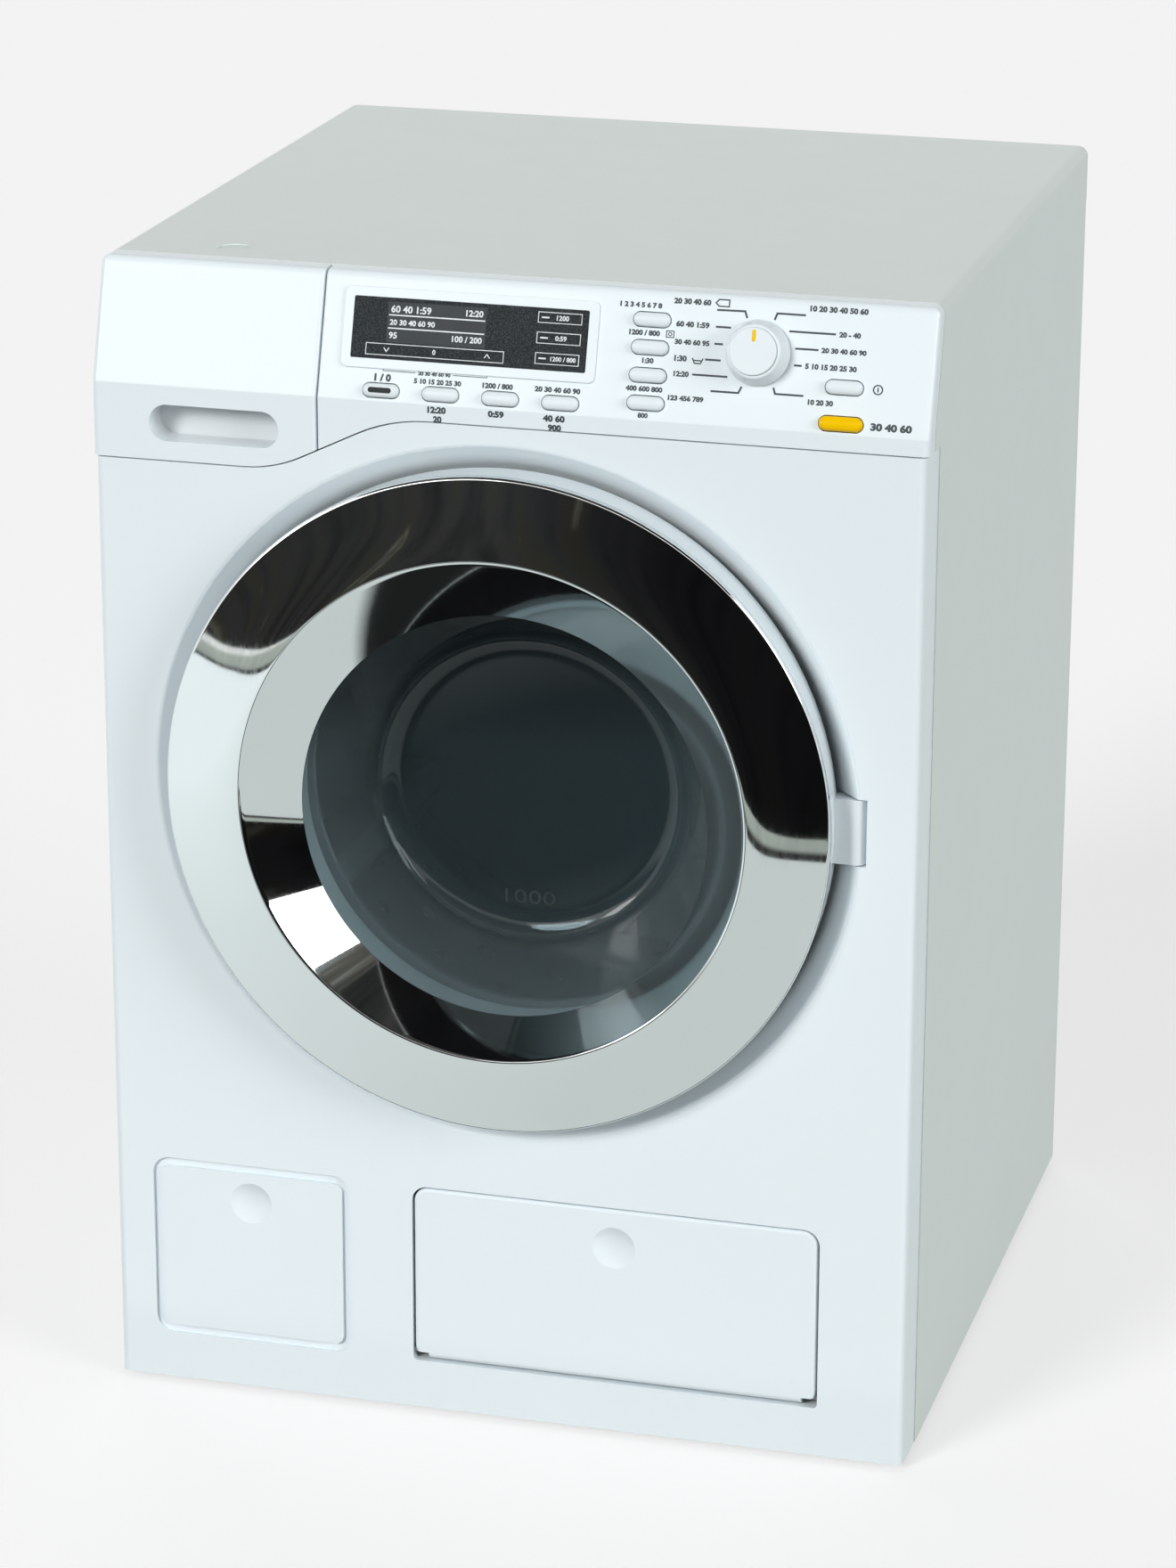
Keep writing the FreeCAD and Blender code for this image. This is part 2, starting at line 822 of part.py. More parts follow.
def flap_ears():
    """thick ends beside the flap that hold its pin"""
    low = flap_low_z - flap_gap
    ears = []
    for x, outward in ((flap_left - flap_gap, -1), (flap_right + flap_gap, 1)):
        end = x + outward * (flap_pin_reach + bin_wall)
        ears.append(block(min(x, end), max(x, end), deep(cover_wall) - seam, deep(flap_ear_depth),
                          low, low + flap_ear_height))
    return ears


def flap_axis_point(x):
    return vec(x, deep(flap_barrel_radius), flap_low_z + flap_barrel_radius)


def flap_pin_ends():
    start = flap_axis_point(flap_left - flap_gap - flap_pin_reach)
    end = flap_axis_point(flap_right + flap_gap + flap_pin_reach)
    return start, end


def hook_slot():
    low = hook_x - hook_barb - hook_slot_gap
    high = hook_x + hook_width + hook_slot_gap
    half = hook_height / 2 + hook_slot_gap
    return block(low, high, deep(cover_wall), deep(latch_front), door_z - half, door_z + half)


def mould_outline(inset, y1):
    """the moulded outline's plate, drawn in by the inset"""
    return slab(
        mould_left + inset, mould_right - inset, mould_low_z + inset, mould_high_z - inset,
        mould_radius - inset, front_y - overrun, y1,
    )


def make_front_panel():
    """panel with its returns, the door recess, the flap opening and the moulded outline"""
    back = deep(front_return)
    panel = block(-panel_half, panel_half, front_y, back, base_z, crease_z)
    panel = round_edges(
        panel, front_edge_radius,
        lambda e: edge_box_is(e, y=front_y, x=panel_half) or edge_box_is(e, y=front_y, x=-panel_half),
    )
    panel = panel.common(panel_edge_region(0))
    inner = panel_half - cover_wall
    room = block(-inner, inner, deep(cover_wall), back + overrun, base_z + cover_wall, crease_z + overrun)
    panel = panel.cut(room)

    floor_radius = recess_radius - recess_depth
    mitre = cover_wall * math.tan(math.pi / 8)
    dish = (
        (0, deep(recess_depth)),
        (floor_radius, deep(recess_depth)),
        (recess_radius, front_y),
        (recess_radius + mitre, front_y),
        (recess_radius + mitre, deep(cover_wall)),
        (floor_radius + mitre, deep(recess_depth + cover_wall)),
        (0, deep(recess_depth + cover_wall)),
    )
    hollow = (
        (0, front_y - overrun),
        (recess_radius + overrun, front_y - overrun),
        (floor_radius, deep(recess_depth)),
        (0, deep(recess_depth)),
    )
    half_block = hinge_block_height / 2
    hinge_block = block(
        hinge_x - hinge_block_width / 2, hinge_x + hinge_block_width / 2, deep(cover_wall) - seam,
        deep(hinge_block_depth), door_z - half_block, door_z + half_block,
    )
    posts = [
        rod_y(tub_post_radius, x, z, deep(recess_depth + cover_wall) - seam, deep(tub_front))
        for x, z in tub_post_places()
    ]
    hole = rod_y(recess_radius, 0, door_z, front_y - overrun, back + overrun)
    panel = panel.cut(hole)
    panel = joined([panel, turned(dish, 0, door_z), hinge_block] + posts)
    panel = panel.cut(turned(hollow, 0, door_z))
    panel = round_edges(
        panel, recess_lip_radius,
        lambda e: edge_box_is(e, y=front_y) and same(e.BoundBox.XLength, 2 * recess_radius),
    )
    panel = panel.cut(hinge_pocket())
    panel = panel.cut(rod_y(opening_radius, 0, wash_z, front_y, deep(tub_front)))
    panel = panel.cut(hook_slot())
    pin_low, pin_high = hinge_pin_ends()
    panel = panel.cut(rod(hinge_pin_radius + pin_clearance, pin_low, pin_high))

    panel = panel.cut(flap_opening(front_y - overrun, back + overrun))
    panel = joined([panel] + flap_ears() + [guide(x) for x in guide_places_x])
    pin_start, pin_end = flap_pin_ends()
    panel = panel.cut(rod(flap_pin_radius + pin_clearance, pin_start, pin_end))

    groove_end = front_y + mould_groove_depth
    panel = panel.cut(mould_outline(0, groove_end).cut(mould_outline(mould_groove_width, groove_end)))
    panel = panel.cut(dimple((mould_left + mould_right) / 2, mould_high_z - dimple_drop, front_y))
    hole_start = deep(tub_front + tub_wall - screw_bite)
    for x, z in tub_post_places():
        panel = panel.cut(screw_hole(x, z, hole_start, deep(tub_front) + overrun))
    return panel


def display_plate(grow, radius, y0, y1):
    return slab(
        display_left - grow, display_right + grow, display_low - grow, display_high + grow, radius, y0, y1
    )


def make_control_fascia():
    """sloping front right of the drawer, with holes for keys, knob and display"""
    fascia = fascia_shell(fascia_left, half_width)
    w = display_frame_width
    frame = display_plate(w, display_radius + w / 2, -display_frame_stand, cover_wall / 2)
    frame = round_edges(frame, display_frame_stand / 2, lambda e: edge_box_is(e, y=-display_frame_stand))
    g = display_gap
    pocket = display_plate(g, display_radius + g, -overrun, display_thickness - display_frame_stand)
    posts = [rod_y(board_post_radius, x, up, cover_wall / 2, mat_end) for x, up in board_post_places()]
    cuts = [pocket]
    behind = cover_wall + overrun / 2
    for _, x, up, width, height in key_table():
        cuts.append(pill(x, up, width + 2 * key_gap, height + 2 * key_gap, -overrun, behind))
    cuts.append(rod_y(knob_stem_radius + pin_clearance, knob_x, knob_up, -overrun, cover_wall + overrun))
    for x, up in board_post_places():
        cuts.append(screw_hole(x, up, mat_end - (screw_bite - board_thickness) / 2, mat_end + overrun))
    fascia = joined([fascia] + [on_slope(piece) for piece in [frame] + posts])
    for piece in cuts:
        fascia = fascia.cut(on_slope(piece))
    return fascia


def make_feet():
    x = half_width - foot_inset
    feet = []
    for sx in (-1, 1):
        for y in (front_y + foot_inset, back_y - foot_inset):
            foot = rod(foot_radius, vec(sx * x, y, 0), vec(sx * x, y, base_z))
            feet.append(round_edges(foot, foot_edge_radius, lambda e: edge_box_is(e, z=0) and e.Closed))
    return Part.makeCompound(feet)


# Door

def hinge_pin_ends():
    half = hinge_lug_height / 2 + hinge_pin_reach
    y = deep(hinge_barrel_radius)
    return vec(hinge_x, y, door_z - half), vec(hinge_x, y, door_z + half)


def funnel(share_start, share_end, grow):
    """slanting funnel from the ridge circle (share 0) to the window's edge (share 1)"""
    wires = []
    for share in (share_start, share_end):
        radius = ridge_radius + (window_radius - ridge_radius) * share + grow
        centre = vec(0, deep(ridge_stand * (share - 1)), door_z - opening_drop * share)
        wires.append(Part.Wire([Part.makeCircle(radius, centre, vec(0, 1, 0))]))
    return Part.makeLoft(wires, True, True)


def door_post_places():
    return circle_places(door_post_count, door_post_circle, door_post_start_angle, 0, door_z)


def make_door_chrome_ring():
    """bright band, ridge and funnel in one shell, with posts for the frame's screws"""
    band = (
        (ring_radius, deep(-ring_stand)),
        (ridge_radius, deep(-ridge_stand)),
        (window_radius, deep(-ridge_stand)),
        (window_radius, deep(ring_wall - ridge_stand)),
        (ridge_radius, deep(ring_wall - ridge_stand)),
        (ring_radius, deep(ring_wall - ring_stand)),
    )
    start_share = ring_wall / ridge_stand
    rise = (ridge_stand - ring_stand) / (ring_radius - ridge_radius)
    root = ridge_stand - (door_post_circle - ridge_radius) * rise - door_post_root
    post_end = deep(window_flange_thickness)
    posts = [rod_y(door_post_radius, x, z, deep(-root), post_end) for x, z in door_post_places()]
    edged = round_edges(
        turned(band, 0, door_z), ring_edge_radius,
        lambda e: edge_box_is(e, y=deep(-ring_stand)) and e.Closed,
    )
    ring = joined([edged, funnel(start_share, 1, ring_wall)] + posts)
    ring = ring.cut(funnel(-start_share, 1 + start_share, 0))
    hole_start = deep(frame_back - screw_bite) - pin_clearance
    for x, z in door_post_places():
        ring = ring.cut(screw_hole(x, z, hole_start, deep(frame_back)))
    return ring


def make_door_bowl():
    """dished window with a flat flange behind the funnel"""
    flange = rod_y(window_radius + window_flange_width, 0, wash_z, front_y, deep(window_flange_thickness))

    def cup(grow, depth):
        cone = Part.makeCone(
            window_radius + grow, bowl_end_radius + grow, depth, vec(0, front_y, wash_z), vec(0, 1, 0)
        )
        corner = bowl_corner_radius + grow
        return round_edges(cone, corner, lambda e: edge_box_is(e, y=deep(depth)) and e.Closed)

    return joined([flange, cup(bowl_wall, bowl_depth + bowl_wall)]).cut(cup(0, bowl_depth))


def make_door_frame():
    """white ring behind the bright one, with the hinge lug"""
    radius = ring_radius - frame_inset
    rim_front = deep(ring_wall - ring_stand + frame_rim_gap)
    core = window_radius - opening_drop
    outline = (
        (core, deep(window_flange_thickness)),
        (radius - frame_rim_wall, deep(window_flange_thickness)),
        (radius - frame_rim_wall, rim_front),
        (radius, rim_front),
        (radius, deep(frame_back)),
        (core, deep(frame_back)),
    )
    half = hinge_lug_height / 2
    low, high = hinge_pin_ends()
    barrel_low = vec(hinge_x, low.y, door_z - half)
    barrel_high = vec(hinge_x, low.y, door_z + half)
    barrel = rod(hinge_barrel_radius, barrel_low, barrel_high)
    arm_back = deep(2 * hinge_barrel_radius - hinge_arm_relief)
    arm = block(
        radius - frame_rim_wall, hinge_x, deep(hinge_arm_relief), arm_back, door_z - half, door_z + half
    )
    frame = joined([turned(outline, 0, door_z), arm, barrel])
    hole = window_radius + bowl_wall + frame_hole_gap
    frame = frame.cut(rod_y(hole, 0, wash_z, front_y, deep(frame_back + overrun)))
    frame = frame.cut(rod(hinge_pin_radius + pin_clearance, low, high))
    for x, z in door_post_places():
        frame = frame.cut(screw_hole(x, z, front_y, deep(frame_back + overrun)))
    return frame


def make_door_screws():
    return Part.makeCompound([screw(x, z, deep(frame_back), -1) for x, z in door_post_places()])


def make_hinge_pin():
    low, high = hinge_pin_ends()
    return rod(hinge_pin_radius, low, high)


def make_latch_hook():
    half = hook_height / 2
    end = hook_x + hook_width
    shank = block(hook_x, end, deep(frame_back), deep(hook_depth), door_z - half, door_z + half)
    barb_start = deep(latch_front + latch_thickness / 2)
    points = [
        vec(hook_x, barb_start, door_z - half),
        vec(hook_x - hook_barb, barb_start, door_z - half),
        vec(hook_x, deep(hook_depth), door_z - half),
    ]
    barb = Part.Face(Part.makePolygon(points + points[:1])).extrude(vec(0, 0, hook_height))
    return joined([shank, barb])


def make_latch_slide():
    """bar behind the fascia with a leg down to the door's hook; its right end is a ramp"""
    y0 = deep(latch_front)
    y1 = deep(latch_back)
    ramp_x = door_key_x + plunger_width / 2
    bar = block(latch_leg_x, ramp_x + latch_thickness, y0, y1, latch_bar_low, latch_bar_high)
    leg_end = latch_leg_x + latch_leg_width
    leg = block(latch_leg_x, leg_end, y0, y1, door_z - latch_leg_drop, latch_bar_high)
    nose_end = hook_x - hook_barb - latch_nose_gap
    nose = block(latch_leg_x, nose_end, y0, y0 + latch_thickness / 2,
                 door_z - latch_nose_height / 2, door_z + latch_nose_height / 2)
    tip = plunger_reach * math.cos(slope) + (door_key_up + plunger_height / 2) * math.sin(slope)
    far = tip + latch_ramp_gap
    reach = latch_thickness + far
    points = [
        vec(ramp_x, deep(far), latch_bar_low - overrun),
        vec(ramp_x + reach, deep(far + reach), latch_bar_low - overrun),
        vec(ramp_x + reach, deep(far - reach), latch_bar_low - overrun),
        vec(ramp_x - reach, deep(far - reach), latch_bar_low - overrun),
    ]
    tall = latch_bar_high - latch_bar_low + 2 * overrun
    ramp = Part.Face(Part.makePolygon(points + points[:1])).extrude(vec(0, 0, tall))
    return joined([bar, leg, nose]).cut(ramp)


def make_door_seal():
    """rubber bead on the recess floor with a collar into the tub"""
    outer = opening_radius - seam
    outline = (
        (outer - seal_wall, deep(seal_bead_front)),
        (outer + seal_bead_width, deep(seal_bead_front)),
        (outer + seal_bead_width, deep(recess_depth)),
        (outer, deep(recess_depth)),
        (outer, deep(seal_back)),
        (outer - seal_wall, deep(seal_back)),
    )
    across = 2 * (outer + seal_bead_width)
    return round_edges(
        turned(outline, 0, wash_z), seal_wall / 2,
        lambda e: edge_box_is(e, y=deep(seal_bead_front)) and same(e.BoundBox.XLength, across),
    )


# Wash group

def make_wash_tub():
    bore = shaft_radius + pin_clearance + bush_wall + pin_clearance
    outline = (
        (opening_radius, deep(tub_front)),
        (tub_radius, deep(tub_front)),
        (tub_radius, deep(tub_back)),
        (bore, deep(tub_back)),
        (bore, deep(tub_back - tub_wall)),
        (tub_radius - tub_wall, deep(tub_back - tub_wall)),
        (tub_radius - tub_wall, deep(tub_front + tub_wall)),
        (opening_radius, deep(tub_front + tub_wall)),
    )
    tub = turned(outline, 0, wash_z)
    for x, z in tub_post_places():
        tub = tub.cut(screw_hole(x, z, deep(tub_front - overrun), deep(tub_front + tub_wall + overrun)))
    return tub


def make_tub_screws():
    return Part.makeCompound([screw(x, z, deep(tub_front + tub_wall), -1) for x, z in tub_post_places()])


def make_drum():
    """thin drum with a rolled-in mouth and rows of drain holes"""
    inner = drum_radius - drum_wall
    outline = (
        (drum_mouth_radius, deep(drum_front)),
        (drum_radius, deep(drum_front)),
        (drum_radius, deep(drum_back)),
        (0, deep(drum_back)),
        (0, deep(drum_back - drum_wall)),
        (inner, deep(drum_back - drum_wall)),
        (inner, deep(drum_front + drum_wall)),
        (drum_mouth_radius, deep(drum_front + drum_wall)),
    )
    drum = turned(outline, 0, wash_z)
    span = drum_back - drum_front - 2 * drum_hole_margin
    pins = []
    for row in range(drum_hole_rows):
        y = deep(drum_front + drum_hole_margin + span * row / (drum_hole_rows - 1))
        turn = row % 2 / 2
        for column in range(drum_hole_columns):
            angle = 2 * math.pi * (column + turn) / drum_hole_columns
            out = vec(math.cos(angle), 0, math.sin(angle))
            centre = vec(0, y, wash_z)
            start = centre + out * (inner - drum_wall)
            pins.append(rod(drum_hole_radius, start, centre + out * (drum_radius + drum_wall)))
    return drum.cut(Part.makeCompound(pins))


def make_drum_lifters():
    """three paddles seated on the drum's wall"""
    seat = drum_radius - drum_wall - lifter_seat_gap
    y0 = deep(drum_front + drum_wall + lifter_end_gap)
    y1 = deep(drum_back - drum_wall - lifter_end_gap)
    crest = seat - lifter_rise
    lifters = []
    for index in range(lifter_count):
        points = [
            vec(-lifter_foot / 2, y0, seat),
            vec(-lifter_crest / 2, y0, crest),
            vec(lifter_crest / 2, y0, crest),
            vec(lifter_foot / 2, y0, seat),
        ]
        body = Part.Face(Part.makePolygon(points + points[:1])).extrude(vec(0, y1 - y0, 0))
        body = body.common(rod_y(seat, 0, 0, y0 - overrun, y1 + overrun))
        body = round_edges(
            body, lifter_edge_radius,
            lambda e: edge_box_is(e, z=crest) and not same(e.BoundBox.YLength, 0),
        )
        body.rotate(vec(0, 0, 0), vec(0, 1, 0), 360 * index / lifter_count)
        body.translate(vec(0, 0, wash_z))
        lifters.append(body)
    return Part.makeCompound(lifters)


def make_drum_shaft():
    start = deep(drum_back)
    flange = rod_y(shaft_flange_radius, 0, wash_z, start, start + shaft_flange_thickness)
    shaft = rod_y(shaft_radius, 0, wash_z, start, deep(plate_end - shaft_end_margin))
    return joined([flange, shaft])


def make_drum_bush():
    inner = shaft_radius + pin_clearance
    outer = inner + bush_wall
    flange_end = deep(tub_back + bush_flange_thickness)
    sleeve = rod_y(outer, 0, wash_z, deep(tub_back - tub_wall - bush_inner_reach), flange_end)
    flange = rod_y(bush_flange_radius, 0, wash_z, deep(tub_back), flange_end)
    bore = rod_y(inner, 0, wash_z, deep(drum_back), flange_end + overrun)
    return joined([sleeve, flange]).cut(bore)


def gear_blank(teeth, y0, y1, turn):
    """spur gear about the Y line through the origin, one tooth at angle turn"""
    pitch = gear_module * teeth / 2
    base = pitch * math.cos(math.radians(pressure_angle))
    tip = pitch + tooth_addendum_share * gear_module
    root = pitch - tooth_dedendum_share * gear_module

    def involute(radius):
        lean = math.acos(min(1, base / radius))
        return math.tan(lean) - lean

    half_tooth = math.pi / (2 * teeth) - tooth_play_share * gear_module / pitch
    start = max(base, root)
    flank = []
    for step in range(flank_steps + 1):
        radius = start + (tip - start) * step / flank_steps
        flank.append((radius, half_tooth + involute(pitch) - involute(radius)))
    points = []
    for tooth in range(teeth):
        middle = turn + 2 * math.pi * tooth / teeth
        left = [(root, -flank[0][1])] + [(r, -a) for r, a in flank]
        right = [(r, a) for r, a in reversed(flank)] + [(root, flank[0][1])]
        rows = left + right if start > root else left[1:] + right[:-1]
        points += [vec(r * math.cos(middle + a), y0, r * math.sin(middle + a)) for r, a in rows]
    return Part.Face(Part.makePolygon(points + points[:1])).extrude(vec(0, y1 - y0, 0))


def meshed_turn(angle, teeth):
    """turn that puts a gap of the second gear on the line of centres"""
    return math.radians(angle) + math.pi + math.pi / teeth


def make_drum_gear():
    end = deep(gear_start + gear_width)
    gear = gear_blank(drum_teeth, deep(gear_start), end, math.radians(idler_angle))
    gear.translate(vec(0, 0, wash_z))
    return gear.cut(rod_y(shaft_radius + pin_clearance, 0, wash_z, deep(tub_back), deep(plate_start)))


def make_idler_gear():
    """small and large wheel in one moulding"""
    small_turn = meshed_turn(idler_angle, idler_small_teeth)
    small = gear_blank(idler_small_teeth, deep(gear_start), deep(large_start), small_turn)
    large = gear_blank(idler_large_teeth, deep(large_start), deep(large_end), math.radians(motor_angle))
    both = small.fuse(large)
    both.translate(vec(idler_x, 0, idler_z))
    return both.cut(rod_y(axle_radius + pin_clearance, idler_x, idler_z, deep(tub_back), deep(plate_start)))


def make_idler_axle():
    return rod_y(axle_radius, idler_x, idler_z, deep(tub_back), deep(plate_end))


def motor_bore(y0, y1):
    return rod_y(motor_shaft_radius + pin_clearance, motor_x, motor_z, y0, y1)


def make_motor_pinion():
    turn = meshed_turn(motor_angle, pinion_teeth)
    pinion = gear_blank(pinion_teeth, deep(large_start), deep(large_end), turn)
    pinion.translate(vec(motor_x, 0, motor_z))
    return pinion.cut(motor_bore(deep(gear_start), deep(plate_start)))


def make_motor_shaft():
    start = deep(large_start - shaft_end_margin)
    return rod_y(motor_shaft_radius, motor_x, motor_z, start, deep(plate_end + motor_shaft_inside))


def plate_post_places():
    xs = (-plate_side + plate_post_inset, plate_motor_side - plate_post_inset)
    zs = (wash_z - plate_below + plate_post_inset, wash_z + plate_above - plate_post_inset)
    return [(x, z) for x in xs for z in zs]


def make_gear_plate():
    y0 = deep(plate_start)
    y1 = deep(plate_end)
    low = wash_z - plate_below
    plate = slab(-plate_side, plate_motor_side, low, wash_z + plate_above, plate_post_inset, y0, y1)
    posts = [rod_y(plate_post_radius, x, z, deep(tub_back), y0) for x, z in plate_post_places()]
    plate = joined([plate] + posts)
    for radius, x, z in (
        (shaft_radius, 0, wash_z),
        (axle_radius, idler_x, idler_z),
        (motor_boss_radius, motor_x, motor_z),
    ):
        plate = plate.cut(rod_y(radius + pin_clearance, x, z, y0 - overrun, y1 + overrun))
    return plate


def make_drive_motor():
    """can with two flats, its boss seated in the gear plate"""
    y0 = deep(plate_end)
    can = rod_y(motor_radius, motor_x, motor_z, y0, y0 + motor_length)
    flats = block(motor_x - motor_radius, motor_x + motor_radius, y0, y0 + motor_length,
                  motor_z - motor_flat, motor_z + motor_flat)
    boss = rod_y(motor_boss_radius, motor_x, motor_z, deep(plate_start), y0)
    motor = joined([can.common(flats), boss])
    bore_end = y0 + motor_shaft_inside + running_gap
    return motor.cut(motor_bore(deep(plate_start - overrun), bore_end))


# Controls

def make_key(x, up, width, height):
    """pill-shaped key with a hidden flange that keeps it in the fascia"""
    flange_start = cover_wall + running_gap
    flange_end = flange_start + key_flange_thickness
    head = pill(x, up, width, height, -key_stand, flange_start)
    head = round_edges(head, key_crown_radius, lambda e: edge_box_is(e, y=-key_stand))
    rim = 2 * key_flange_rim
    return joined([head, pill(x, up, width + rim, height + rim, flange_start, flange_end)])


def make_door_key():
    """wide key with a plunger whose slanted end pushes the latch slide"""
    key = make_key(door_key_x, door_key_up, wide_key_width, wide_key_height)
    half_w = plunger_width / 2
    half_h = plunger_height / 2
    near = plunger_reach - plunger_width
    points = [
        vec(door_key_x - half_w, cover_wall, door_key_up - half_h),
        vec(door_key_x + half_w, cover_wall, door_key_up - half_h),
        vec(door_key_x + half_w, plunger_reach, door_key_up - half_h),
        vec(door_key_x - half_w, near, door_key_up - half_h),
    ]
    plunger = Part.Face(Part.makePolygon(points + points[:1])).extrude(vec(0, 0, plunger_height))
    return joined([key, plunger])


def plunger_hole(y0, y1):
    half_w = plunger_width / 2 + plunger_gap
    half_h = plunger_height / 2 + plunger_gap
    return block(
        door_key_x - half_w, door_key_x + half_w, y0, y1, door_key_up - half_h, door_key_up + half_h
    )


def sheet_behind_fascia(y0, y1, hole_radius):
    sheet = block(board_left, board_right, y0, y1, board_low, board_high)
    sheet = sheet.cut(plunger_hole(y0 - overrun, y1 + overrun))
    for x, up in board_post_places():
        sheet = sheet.cut(rod_y(hole_radius, x, up, y0 - overrun, y1 + overrun))
    return on_slope(sheet)


def make_keypad_membrane():
    return sheet_behind_fascia(mat_start, mat_end, board_post_radius + pin_clearance)


def make_control_board():
    return sheet_behind_fascia(mat_end, board_end, screw_radius + pin_clearance)


def make_board_screws():
    start = mat_end - (screw_bite - board_thickness) / 2 + pin_clearance
    screws = []
    for x, up in board_post_places():
        head = rod_y(screw_head_radius, x, up, board_end, board_end + screw_head_height)
        screws.append(on_slope(joined([head, rod_y(screw_radius, x, up, start, board_end)])))
    return Part.makeCompound(screws)


def make_display_window():
    end = display_thickness - display_frame_stand
    return on_slope(display_plate(0, display_radius, -display_frame_stand, end))


def make_program_knob():
    """tapered knob with a stem through the fascia and a seat for its cap"""
    base = -running_gap
    front = base - knob_height
    foot = vec(knob_x, base, knob_up)
    body = Part.makeCone(knob_base_radius, knob_top_radius, knob_height, foot, vec(0, -1, 0))
    stem = rod_y(knob_stem_radius, knob_x, knob_up, base, wheel_end)
    seat = rod_y(knob_cap_radius + pin_clearance, knob_x, knob_up, front - overrun, front + knob_cap_sink)
    return on_slope(joined([body, stem]).cut(seat))


def pointer_slab(grow):
    front = -running_gap - knob_height - knob_cap_stand
    middle = knob_up + knob_cap_radius - pointer_length / 2 - pointer_width / 2
    half_w = pointer_width / 2 + grow
    half_l = pointer_length / 2 + grow
    return block(
        knob_x - half_w, knob_x + half_w, front, front + pointer_height, middle - half_l, middle + half_l
    )


def make_knob_cap():
    front = -running_gap - knob_height - knob_cap_stand
    cap = rod_y(knob_cap_radius, knob_x, knob_up, front, front + knob_cap_stand + knob_cap_sink)
    cap = round_edges(cap, knob_cap_stand / 2, lambda e: edge_box_is(e, y=front) and e.Closed)
    return on_slope(cap.cut(pointer_slab(pin_clearance)))


def make_knob_pointer():
    return on_slope(pointer_slab(0))


def make_click_wheel():
    """notched wheel on the stem that keeps the knob in the fascia"""
    behind = wheel_end + overrun
    wheel = rod_y(click_wheel_radius, knob_x, knob_up, wheel_start, wheel_end)
    for x, up in circle_places(click_notches, click_wheel_radius, 0, knob_x, knob_up):
        wheel = wheel.cut(rod_y(click_notch_radius, x, up, wheel_start - overrun, behind))
    bore = rod_y(knob_stem_radius + pin_clearance, knob_x, knob_up, cover_wall, behind)
    return on_slope(wheel.cut(bore))


def make_click_spring():
    """leaf standing on the fascia beside the click wheel"""
    x0 = knob_x - click_wheel_radius - running_gap - click_spring_thickness
    half = click_spring_length / 2
    x1 = x0 + click_spring_thickness
    return on_slope(block(x0, x1, cover_wall, wheel_end, knob_up - half, knob_up + half))


# Detergent drawer

def make_drawer_front():
    front = fascia_shell(-half_width, drawer_right)
    rim = 2 * grip_wall
    shell_start = deep(cover_wall) - seam
    shell_end = deep(grip_depth + grip_wall)
    shell = pill(grip_x, grip_z, grip_width + rim, grip_tall + rim, shell_start, shell_end)
    grip = pill(grip_x, grip_z, grip_width, grip_tall, front_y - overrun, deep(grip_depth))
    return joined([front, shell]).cut(grip)


def tray_sides():
    inner = half_width - cabinet_step - cover_wall
    left = -inner + housing_side_gap + housing_wall + running_gap
    right = drawer_right - cover_wall - housing_side_gap
    return left, right


def make_drawer_tray():
    """two-part soap tray, its nose following the sloping front"""
    left, right = tray_sides()
    room = fascia_cavity(left, right)
    tray = block(left, right, front_y, deep(tray_length), tray_floor, tray_high).common(room)
    divider = left + (right - left) * tray_divider_share
    half = tray_wall / 2
    inner_room = fascia_cavity(left, right)
    inner_room.translate(vec(0, tray_wall, 0))
    for x0, x1 in ((left + tray_wall, divider - half), (divider + half, right - tray_wall)):
        well_end = deep(tray_length) - tray_wall
        well = block(x0, x1, front_y, well_end, tray_floor + tray_wall, tray_high + overrun)
        tray = tray.cut(well.common(inner_room))
    return tray


def make_drawer_housing():
    """open-topped sleeve under the top cover that the tray runs in"""
    left, right = tray_sides()
    x0 = left - running_gap
    x1 = right + running_gap
    low = tray_floor - running_gap
    y1 = deep(tray_length + housing_back_gap)
    w = housing_wall
    ceiling = top_z - cover_wall
    housing = block(x0 - w, x1 + w, deep(housing_front), y1 + w, low - w, ceiling)
    return housing.cut(block(x0, x1, deep(housing_front) - overrun, y1, low, ceiling + overrun))


# Lower flap and its bin

def make_dosing_flap():
    """flap with a round lower edge on its pin and a finger dent"""
    back = deep(flap_thickness)
    flap = slab(flap_left, flap_right, flap_low_z, flap_high_z, flap_radius, front_y, back)
    flap = round_edges(flap, flap_edge_radius, lambda e: edge_box_is(e, y=front_y))
    foot = block(
        flap_left - overrun, flap_right + overrun, front_y - overrun, back + overrun,
        flap_low_z - overrun, flap_low_z + flap_barrel_radius,
    )
    barrel_start = flap_axis_point(flap_left + flap_radius)
    barrel = rod(flap_barrel_radius, barrel_start, flap_axis_point(flap_right - flap_radius))
    flap = joined([flap.cut(foot), barrel])
    flap = flap.cut(dimple((flap_left + flap_right) / 2, flap_high_z - dimple_drop, front_y))
    pin_start, pin_end = flap_pin_ends()
    return flap.cut(rod(flap_pin_radius + pin_clearance, pin_start, pin_end))


def make_flap_pin():
    start, end = flap_pin_ends()
    return rod(flap_pin_radius, start, end)


def make_dosing_bin():
    """box behind the flap, its rim on the back of the panel"""
    low = flap_low_z - flap_gap
    high = flap_high_z + flap_gap
    x0 = flap_left - flap_gap
    x1 = flap_right + flap_gap
    w = bin_wall
    rim = deep(cover_wall)
    box = block(x0 - w, x1 + w, rim, deep(bin_depth), low - w, high + w)
    box = box.cut(block(x0, x1, rim - overrun, deep(bin_depth) - w, low, high))
    for ear in flap_ears():
        box = box.cut(ear)
    return box


# Power and sound at the back

